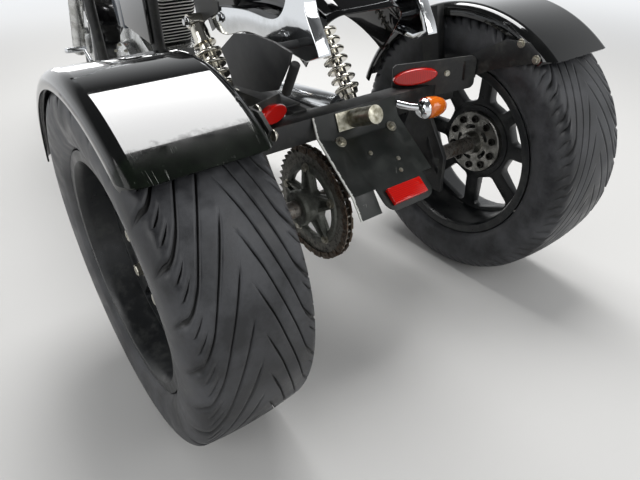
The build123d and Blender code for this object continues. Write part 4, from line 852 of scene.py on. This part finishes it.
# The lamp's centre and the stem's bends: to the right, ahead of the axle, and up.
INDICATOR_CENTRE = (172, -50, 458)
INDICATOR_LEAN = radians(-12)
STEM_BENDS = ((112, -8.6, 467.5), (128, -28, 463), (152, -46, 459.5))
STEM_RADIUS, STEM_STEPS = 8, 5


def spun(name, centre, out, rows, material, body, steps=40):
    """A piece turned about a direction: rows are (along, radius) in millimetres."""
    points, faces = [], []
    turned_form(points, faces, centre, out, rows, steps)
    return piece(name, points, faces, material, body)


# The lighter amber is the prisms' painted glint.
AMBER_LENS = moulded_lens("moulded_amber_lens", "#C9520A", "#E98322")


def bullet_lamp(name, centre, out, body):
    """Cup and lens of one bullet lamp; its lens points out."""
    spun(name + "_cup", centre, out, BULLET_CUP, CHROME, body)
    spun(name + "_lens", centre, out, BULLET_LENS, AMBER_LENS, body)


def stalk(name, points, radius, body):
    """A chrome bar along straight runs in millimetres, closed at both ends."""
    curve = bpy.data.curves.new(name, "CURVE")
    curve.dimensions = "3D"
    line = curve.splines.new("POLY")
    line.points.add(len(points) - 1)
    for spot, point in zip(line.points, points):
        spot.co = (*(Vector(point) * MM), 1)
    curve.bevel_depth = radius * MM
    curve.bevel_resolution = STEM_STEPS
    curve.use_fill_caps = True
    shape = bpy.data.objects.new(name, curve)
    mesh = bpy.data.meshes.new_from_object(shape)
    bpy.data.objects.remove(shape)
    return riding(name, mesh, CHROME, body)


under_axle = Vector((0, AXLE.y, 0))
lamp_out = (cos(INDICATOR_LEAN), sin(INDICATOR_LEAN), 0)
bullet_lamp("rear_indicator", under_axle + Vector(INDICATOR_CENTRE), lamp_out, "chassis")
bends = [under_axle + Vector(bend) for bend in STEM_BENDS]
stem = stalk("rear_indicator_stem", bends, STEM_RADIUS, "chassis")
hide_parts("rear_indicator")


# Engine: die-cast cases with buffed and lacquered covers, black-painted finned cylinders whose fin
# edges were cut back to bright metal, and a moulded cover between them.
def buffed_alloy(name, bright, dull, rough=0.16):
    material, tree, shader = surface(name, bright, rough, 1.0)
    film = grain(tree, 42, 6.0, rough=0.7)
    varied(tree, shader, ramp(tree, film, (0.42, bright), (0.8, dull)),
           span(tree, film, 0.35, 0.8, rough, rough + 0.28))
    bumps(tree, shader, grain(tree, 1.6, 2.0, (1, 1, 8)), 0.02)
    return material


BUFFED_ALLOY = buffed_alloy("buffed_case_alloy", "#D0D1D0", "#77766F")
softened("engine_case", 3.0, BUFFED_ALLOY, steps=3)
softened("intake", 2.0, CHROME, steps=3)


def fin_enamel(name, paint, metal):
    """Heat-proof black, with bare metal on the fins' outer edges."""
    material, tree, shader = surface(name, paint, 0.5)
    bare = span(tree, add(tree, "ShaderNodeNewGeometry").outputs["Pointiness"], 0.53, 0.56)
    varied(tree, shader, mixed(tree, paint, metal, bare), metal=bare)
    bumps(tree, shader, grain(tree, 2.4, 3.0), 0.12)
    return material


softened("cylinders", 0.7, fin_enamel("heat_proof_fin_enamel", "#1A1B1C", "#C8C8C4"), steps=1)
material, tree, shader = surface("grey_blue_cover_lacquer", "#3B434C", 0.14, coat=0.8)
varied(tree, shader, ramp(tree, grain(tree, 50, 4.0), (0.3, "#39424C"), (0.8, "#59606A")))
softened("v_cover", 6.0, material, steps=4)


# Exhaust: chrome-plated steel, with a header pipe from each cylinder into one silencer. The plate has
# turned straw and blue where the headers run hottest. The hot point lies millimetres below the
# cylinders' tops, and the tint runs between two distances from it in metres.
HOT_BELOW_TOP = 60
HEAT_NEAR, HEAT_REACH = 0.14, 0.33


def heated_chrome(name, centre):
    material, tree, shader = surface(name, "#E4E6E8", 0.07, 1.0)
    away = add(tree, "ShaderNodeVectorMath", {0: own_place(tree), 1: Vector(centre) * MM},
               operation="DISTANCE").outputs["Value"]
    heat = maths(tree, "MULTIPLY_ADD", grain(tree, 30, 3.0), 0.05, away)
    tint = ramp(tree, span(tree, heat, HEAT_NEAR, HEAT_REACH), (0.0, "#5C5648"), (0.25, "#6F6A8A"),
                (0.45, "#B79A62"), (0.7, "#E4E6E8"))
    varied(tree, shader, tint, span(tree, grain(tree, 40, 4.0), 0.3, 0.8, 0.05, 0.2))
    return material


cylinder_low, cylinder_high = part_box("cylinders")
cylinder_tops = Vector((0, (cylinder_low.y + cylinder_high.y) / 2, cylinder_high.z)) / MM
hottest = cylinder_tops - Vector((0, 0, HOT_BELOW_TOP))
softened("exhaust", 2.0, heated_chrome("heated_chrome_plate", hottest), steps=3)

# Case screws: small plated bolts round each of the engine's side covers, which they hold to the
# case. Each cover: its face, the circle of its screws, and the way they point.
CASE_SCREWS = 9
CASE_COVERS = ((-117.0, 78, -1), (111.0, 80, 1))
cover_centre = Vector((0, AXLE.y + 970, 370))
case_places = []
for face, radius, out in CASE_COVERS:
    case_places += places_round(face, cover_centre, radius, CASE_SCREWS, 0, out)
bolts("case_screws", case_places, 7.0, 6.5, ZINC, "chassis", 1.2)

# Tank and bodywork: pressed steel in the same gloss black as the fenders, and a chromed filler cap
# screwed into the tank's neck. The cap is rows up from its foot and out from its middle.
CAP_AHEAD = 1020.0
CAP_SUNK = 9.0
CAP_ROWS = ((-12, 34), (-5, 36), (-3, 33), (6, 32.2), (7.5, 34), (9, 34.6), (10.5, 34), (11.5, 31), (13, 22),
            (13.6, 0))
for node in ("short_fender", "side_covers", "front_fender"):
    softened(node, 1.0, GLOSS_BLACK)
chosen("fuel_tank", GLOSS_BLACK)
cap_foot = (0, AXLE.y + CAP_AHEAD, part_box("fuel_tank")[1].z / MM - CAP_SUNK)
spun("filler_cap", cap_foot, (0, 0, 1), CAP_ROWS, CHROME, "chassis", 64)

# Seats and backrest: moulded foam under a stitched black cover, on bases screwed to the frame. The
# cover is drawn tight, so its sides swell between seams, and sewn channels press into the foam.
SEAT_VOXEL = 6.0
RELAX_STEPS = 6
CLOTH_STEPS = 20
CLOTH_PRESSURE = 4
SWELL_CAP = 7.0
# Each pad: how far its form is first drawn in, how full it is, and its channels. Each channel: where
# it runs ahead of the axle or to the right, the direction across it, its depth and its width.
PADS = {
    "rider_seat": (3.0, 0.6, [((0, AXLE.y + 560, 0), (0, 1, 0.25), 5.0, 7.0)]),
    "pillion_seat": (3.0, 0.6, [((0, AXLE.y + y, 0), (0, 1, 0), 4.5, 6.0) for y in (190, 270, 350)]),
    "backrest": (2.0, 0.7, [((x, 0, 0), (1, 0, 0), 3.5, 5.0) for x in (-32, 32)]),
}
PEBBLE = 2.6


# Coated seat cloth: a fine pebbled grain, with dull patches and polished ones.
def coated_seat_cloth(name, colour, worn):
    material, tree, shader = surface(name, colour, 0.5)
    pebbles = add(tree, "ShaderNodeTexVoronoi", {"Vector": own_place(tree), "Scale": 1 / (PEBBLE * MM)},
                  feature="SMOOTH_F1")
    rub = grain(tree, 80, 4.0, rough=0.6)
    varied(tree, shader, ramp(tree, rub, (0.35, colour), (0.75, worn)), span(tree, rub, 0.3, 0.7, 0.58, 0.4))
    bumps(tree, shader, pebbles.outputs["Distance"], 0.35)
    return material


SEAT_CLOTH = coated_seat_cloth("coated_seat_cloth", "#151414", "#2B2928")


def as_mesh(obj):
    """The object's evaluated mesh, kept as its own."""
    bpy.context.view_layer.update()
    return bpy.data.meshes.new_from_object(obj.evaluated_get(bpy.context.evaluated_depsgraph_get()))


def read(items, name):
    """One vector of every vertex, as rows of three numbers."""
    values = np.empty(len(items) * 3)
    items.foreach_get(name, values)
    return values.reshape(-1, 3)


def stuffed(node, drawn_in, channels):
    """A padded piece: the node's form, remeshed, swollen as cloth, then pressed in along its seams."""
    pad = placed(node + "_pad", frame["nodes"][node].data.copy())
    merged = bmesh.new()
    merged.from_mesh(pad.data)
    bmesh.ops.remove_doubles(merged, verts=merged.verts, dist=0.05 * MM)
    shrunk = [vert.co - vert.normal * drawn_in * MM for vert in merged.verts]
    for vert, spot in zip(merged.verts, shrunk):
        vert.co = spot
    merged.to_mesh(pad.data)
    merged.free()
    remesh = pad.modifiers.new("even_mesh", "REMESH")
    remesh.mode = "VOXEL"
    remesh.voxel_size = SEAT_VOXEL * MM
    relax = pad.modifiers.new("relax", "SMOOTH")
    relax.iterations = RELAX_STEPS
    mesh = as_mesh(pad)
    pad.modifiers.clear()
    pad.data = mesh
    before = read(mesh.vertices, "co")
    cloth = pad.modifiers.new("cover", "CLOTH")
    cloth.settings.use_pressure = True
    cloth.settings.uniform_pressure_force = CLOTH_PRESSURE
    cloth.settings.effector_weights.gravity = 0
    cloth.settings.quality = 5
    for step in range(1, CLOTH_STEPS + 1):
        bpy.context.scene.frame_set(step)
    swollen = as_mesh(pad)
    pad.modifiers.clear()
    bpy.context.scene.frame_set(1)
    moved = read(swollen.vertices, "co") - before
    far = np.linalg.norm(moved, axis=1, keepdims=True)
    before = before + moved * np.minimum(1.0, SWELL_CAP * MM / np.maximum(far, 1e-9))
    mesh.vertices.foreach_set("co", before.ravel())
    mesh.update()
    finer = pad.modifiers.new("finer", "SUBSURF")
    finer.levels = finer.render_levels = 1
    pad.data = as_mesh(pad)
    pad.modifiers.clear()
    spots, normals = read(pad.data.vertices, "co"), read(pad.data.vertices, "normal")
    for middle, direction, depth, width in channels:
        away = (spots / MM - np.array(middle)) @ np.array(Vector(direction).normalized())
        spots = spots - normals * (MM * depth * np.exp(-(away / width) ** 2))[:, None]
    pad.data.vertices.foreach_set("co", spots.ravel())
    pad.data.update()
    pad.data.polygons.foreach_set("use_smooth", [True] * len(pad.data.polygons))
    pad.data.materials.clear()
    pad.data.materials.append(SEAT_CLOTH)
    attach(pad, "chassis")
    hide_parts(node)


for node, (drawn_in, fill, channels) in PADS.items():
    stuffed(node, drawn_in, channels)


# Fork: buffed alloy sliders on chromed tubes, held by machined clamps. It is steered to the right,
# as parked, about the axis that the frame gives.
steering = next(joint for joint in frame["joints"] if joint["name"] == "steering_turn")
front_spin = next(joint for joint in frame["joints"] if joint["name"] == "front_wheel_spin")
STEER_FOOT = Vector(steering["pos_m"]) / MM
STEER_AXIS = Vector(steering["axis"]).normalized()
STEER_AHEAD = STEER_AXIS.cross(Vector((1, 0, 0))).normalized() * -1
PARKED_TURN = radians(-12)
STEER_TURN = Matrix.Rotation(PARKED_TURN, 3, STEER_AXIS)
SLIDER_TOP = 347.0


def steered(up, x=0.0, ahead=0.0):
    """A point up the steering axis, x to the right and ahead of it, with the fork turned as parked."""
    return STEER_FOOT + STEER_TURN @ (STEER_AXIS * up + Vector((x, 0, 0)) + STEER_AHEAD * ahead)


legs = softened("fork_legs", 1.5, BUFFED_ALLOY)
legs.data.materials.append(CHROME)
for face in legs.data.polygons:
    if (face.center / MM - STEER_FOOT).dot(STEER_AXIS) > SLIDER_TOP:
        face.material_index = 1
chosen("fork_clamps", turned_alloy("machined_clamp_alloy", "#BFBFBC", "#6E6D68", STEER_FOOT, 0.9))
softened("levers", 1.2, BUFFED_ALLOY)
for node in ("front_axle", "handlebar", "mirrors", "headlamp", "speedometer"):
    chosen(node, CHROME)
softened("foot_controls", 1.0, CHROME)
softened("front_wheel", 2.0, BUFFED_ALLOY)

# Front tyre: a narrow tyre of the same black rubber, stretched over the cast wheel's rim. Three
# zig-zag grooves run round it, with short slots across its shoulders.
FRONT_RADIUS = 305.0
FRONT_WIDTH = 110.0
FRONT_BEAD_RADIUS = 226.0
FRONT_BEAD_HALF = 32.0
FRONT_TREAD_HALF = 33.0
FRONT_SIDE_ROWS, FRONT_TREAD_ROWS = 20, 66
FRONT_COLUMNS = 480
TREAD_FROM = 285.0
FRONT_DEPTH = 4.5
ZIG_PITCHES = 60
ZIG_REACH = 2.6
RIB_GROOVES = (-17.0, 0.0, 17.0)
RIB_HALF, RIB_WALL = 1.3, 0.9
SLOT_FROM, SLOT_TO = 23.0, 44.0
SLOT_SHARE, SLOT_DEPTH = 0.28, 0.8
wheel_axis = Vector(front_spin["axis"]).normalized()
wheel_centre = Vector(front_spin["pos_m"]) / MM
wheel_up = (Vector((0, 0, 1)) - wheel_axis * wheel_axis.z).normalized()
wheel_on = wheel_up.cross(wheel_axis)
front_rows = tyre_profile(FRONT_RADIUS, FRONT_WIDTH / 2, FRONT_BEAD_RADIUS, FRONT_BEAD_HALF, FRONT_TREAD_HALF,
                          BULGE_RADIUS, FRONT_SIDE_ROWS, FRONT_TREAD_ROWS)
front_points, front_faces, front_sunk = [], [], []
for across, radius in front_rows:
    for i in range(FRONT_COLUMNS):
        share = i / FRONT_COLUMNS
        in_pitch = (share * ZIG_PITCHES) % 1.0
        zig = abs(in_pitch * 4 - 2) - 1
        depth = 0.0
        if radius > TREAD_FROM:
            for rib in RIB_GROOVES:
                apart = abs(across - rib - zig * ZIG_REACH)
                depth = max(depth, 1 - smooth_step((apart - RIB_HALF) / RIB_WALL))
            if SLOT_FROM < abs(across) < SLOT_TO and in_pitch < SLOT_SHARE:
                depth = max(depth, SLOT_DEPTH)
        front_sunk.append(depth)
        r = radius - FRONT_DEPTH * depth
        a = 2 * pi * share
        front_points.append(wheel_centre + wheel_axis * across + (wheel_up * cos(a) + wheel_on * sin(a)) * r)
for row in range(0, (len(front_rows) - 1) * FRONT_COLUMNS, FRONT_COLUMNS):
    for i in range(FRONT_COLUMNS):
        j = (i + 1) % FRONT_COLUMNS
        front_faces.append((row + i, row + FRONT_COLUMNS + i, row + FRONT_COLUMNS + j, row + j))
front_tyre = piece("front_tread_tyre", front_points, front_faces, REAR_RUBBER, "front_roller")
mark_groove_shade(front_tyre, front_sunk)
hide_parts("front_tyre")

# Grips: moulded rubber sleeves pushed on the bar's ends, with close ribs round them and a flange at
# the inner end. Rows run along the grip back from its outer end, and out from its middle.
BAR_RISE = 838.0
# The grip's ends on the bar: to the side, back from the bar's foot, and up.
GRIP_INNER, GRIP_OUTER = (300, 110, 130), (400, 250, 105)
GRIP_FLANGE = [(-112, 12.8), (-112, 20.5), (-111, 22), (-105.5, 22), (-104, 18)]
GRIP_END = [(-3, 17.5), (2, 17.5), (4, 15.5), (4.3, 0)]
GRIP_RIBS, RIB_PITCH, FIRST_RIB = 22, 4.4, -102
GRIP_RIB = ((0, 15.8), (0.6, 17.2), (3.0, 17.2), (3.6, 15.8))


def bar_point(x, back, rise):
    """A point of the handlebar in the fork's own upright layout, turned as parked."""
    foot = STEER_FOOT + STEER_AXIS * BAR_RISE
    return STEER_FOOT + STEER_TURN @ (Vector((x, foot.y - back, foot.z + rise)) - STEER_FOOT)


grip_rubber = moulded_plastic("moulded_grip_rubber", "#121212", 0.7)
ribs = [(FIRST_RIB + i * RIB_PITCH + along, radius) for i in range(GRIP_RIBS) for along, radius in GRIP_RIB]
for side, side_name in ((-1, "left"), (1, "right")):
    inner, outer = (bar_point(x * side, back, rise) for x, back, rise in (GRIP_INNER, GRIP_OUTER))
    rows = GRIP_FLANGE + ribs + GRIP_END
    grip = spun("grip_" + side_name, outer, outer - inner, rows, grip_rubber, "steering", 32)
    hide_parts("grips")

# Headlamp glass: pressed clear glass with upright flutes, sealed into the lamp's rim. Behind it a
# bulb stands in its holder, as rows along the lamp and out from its middle.
LAMP_UP, LAMP_AHEAD = 620, 172
FLUTE = 7.0  # half of the way from one flute to the next
BULB_ROWS = ((-100, 0), (-100, 14), (-78, 14), (-76, 7), (-60, 8.5), (-52, 11), (-44, 8.5), (-40, 0))
material, tree, shader = surface("pressed_lamp_glass", "#F2F5F5", 0.03)
shader.inputs["Transmission Weight"].default_value = 1.0
shader.inputs["IOR"].default_value = 1.5
flutes = add(tree, "ShaderNodeTexWave", {"Vector": own_place(tree), "Scale": pi / 20 / (FLUTE * MM)},
             bands_direction="X")
bumps(tree, shader, flutes.outputs["Fac"], 0.4)
chosen("headlamp_lens", material)
spun("headlamp_bulb", steered(LAMP_UP, 0, LAMP_AHEAD), STEER_TURN @ Vector((0, 1, 0)), BULB_ROWS,
     BUFFED_ALLOY, "steering", 24)

# Speedometer: a black dial under flat glass in a chromed rim, with plain white marks and an orange
# needle at rest. It faces back and up to the rider. Its rows run up from its foot and out.
DIAL_UP, DIAL_AHEAD = 794, 96
DIAL_FACE, DIAL_RADIUS = 34.2, 36.0
DIAL_TILT = radians(32)
RIM_ROWS = ((30, 42.2), (35, 42.4), (36.5, 41), (36.5, 38), (34.1, 36.5))
MARKS, SWEEP = 19, 126.0
MARK_FAR = 32
# Where a mark starts and its half width: the long ones, and the short ones between them.
LONG_MARK, SHORT_MARK = (23, 1.3), (26, 0.9)
MARKS_ABOVE, NEEDLE_ABOVE = 0.4, 1.2
NEEDLE = (-7, 29, 1.1)
dial_paint = surface("matt_dial_paint", "#0B0B0C", 0.6)[0]
mark_paint = surface("white_dial_print", "#E8E8E2", 0.5)[0]
needle_paint = surface("orange_needle_paint", "#E2541A", 0.4)[0]
dial_up = STEER_TURN @ Vector((0, -sin(DIAL_TILT) * 0.9, cos(DIAL_TILT))).normalized()
dial_side = STEER_TURN @ Vector((1, 0, 0))
dial_top = dial_up.cross(dial_side)
dial_foot = steered(DIAL_UP, 0, DIAL_AHEAD)
spun("speedometer_rim", dial_foot, dial_up, RIM_ROWS, CHROME, "steering", 64)
spun("speedometer_dial", dial_foot, dial_up, ((DIAL_FACE, DIAL_RADIUS), (DIAL_FACE + 0.1, 0)), dial_paint,
     "steering", 48)


def dial_strip(angle, near, far, width):
    """Corners of a flat strip on the dial, pointing out from its middle."""
    out = dial_top * cos(angle) + dial_side * sin(angle)
    across = dial_side * cos(angle) - dial_top * sin(angle)
    return [dial_foot + dial_up * (DIAL_FACE + MARKS_ABOVE) + out * r + across * w for r, w in
            ((near, -width), (far, -width), (far, width), (near, width))]


mark_points, mark_faces = [], []
for i in range(MARKS):
    near, width = SHORT_MARK if i % 2 else LONG_MARK
    mark_faces.append(tuple(range(len(mark_points), len(mark_points) + 4)))
    mark_points += dial_strip(radians(-SWEEP + 2 * SWEEP * i / (MARKS - 1)), near, MARK_FAR, width)
piece("dial_marks", mark_points, mark_faces, mark_paint, "steering", smooth=False)
needle = [p + dial_up * NEEDLE_ABOVE for p in dial_strip(radians(-SWEEP), *NEEDLE)]
piece("dial_needle", needle, [(0, 1, 2, 3)], needle_paint, "steering", smooth=False)

# Front indicators: the same bullet lamps as the rear one, spun cups with moulded amber lenses, on
# short chrome stems that stand out from the fork.
STEMS_UP, STEMS_AHEAD = 650, 45
STEMS_APART = 110.3
STEM_LENGTH, LAMP_OUT = 34, 66
FRONT_STEM_RADIUS = 7
for side, side_name in ((-1, "left"), (1, "right")):
    start = steered(STEMS_UP, STEMS_APART * side, STEMS_AHEAD)
    out = STEER_TURN @ Vector((side, 0, 0))
    stem = stalk("front_indicator_stem_" + side_name, [start, start + out * STEM_LENGTH], FRONT_STEM_RADIUS,
                 "steering")
    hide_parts("front_indicators")
    bullet_lamp("front_indicator_" + side_name, start + out * LAMP_OUT, out, "steering")
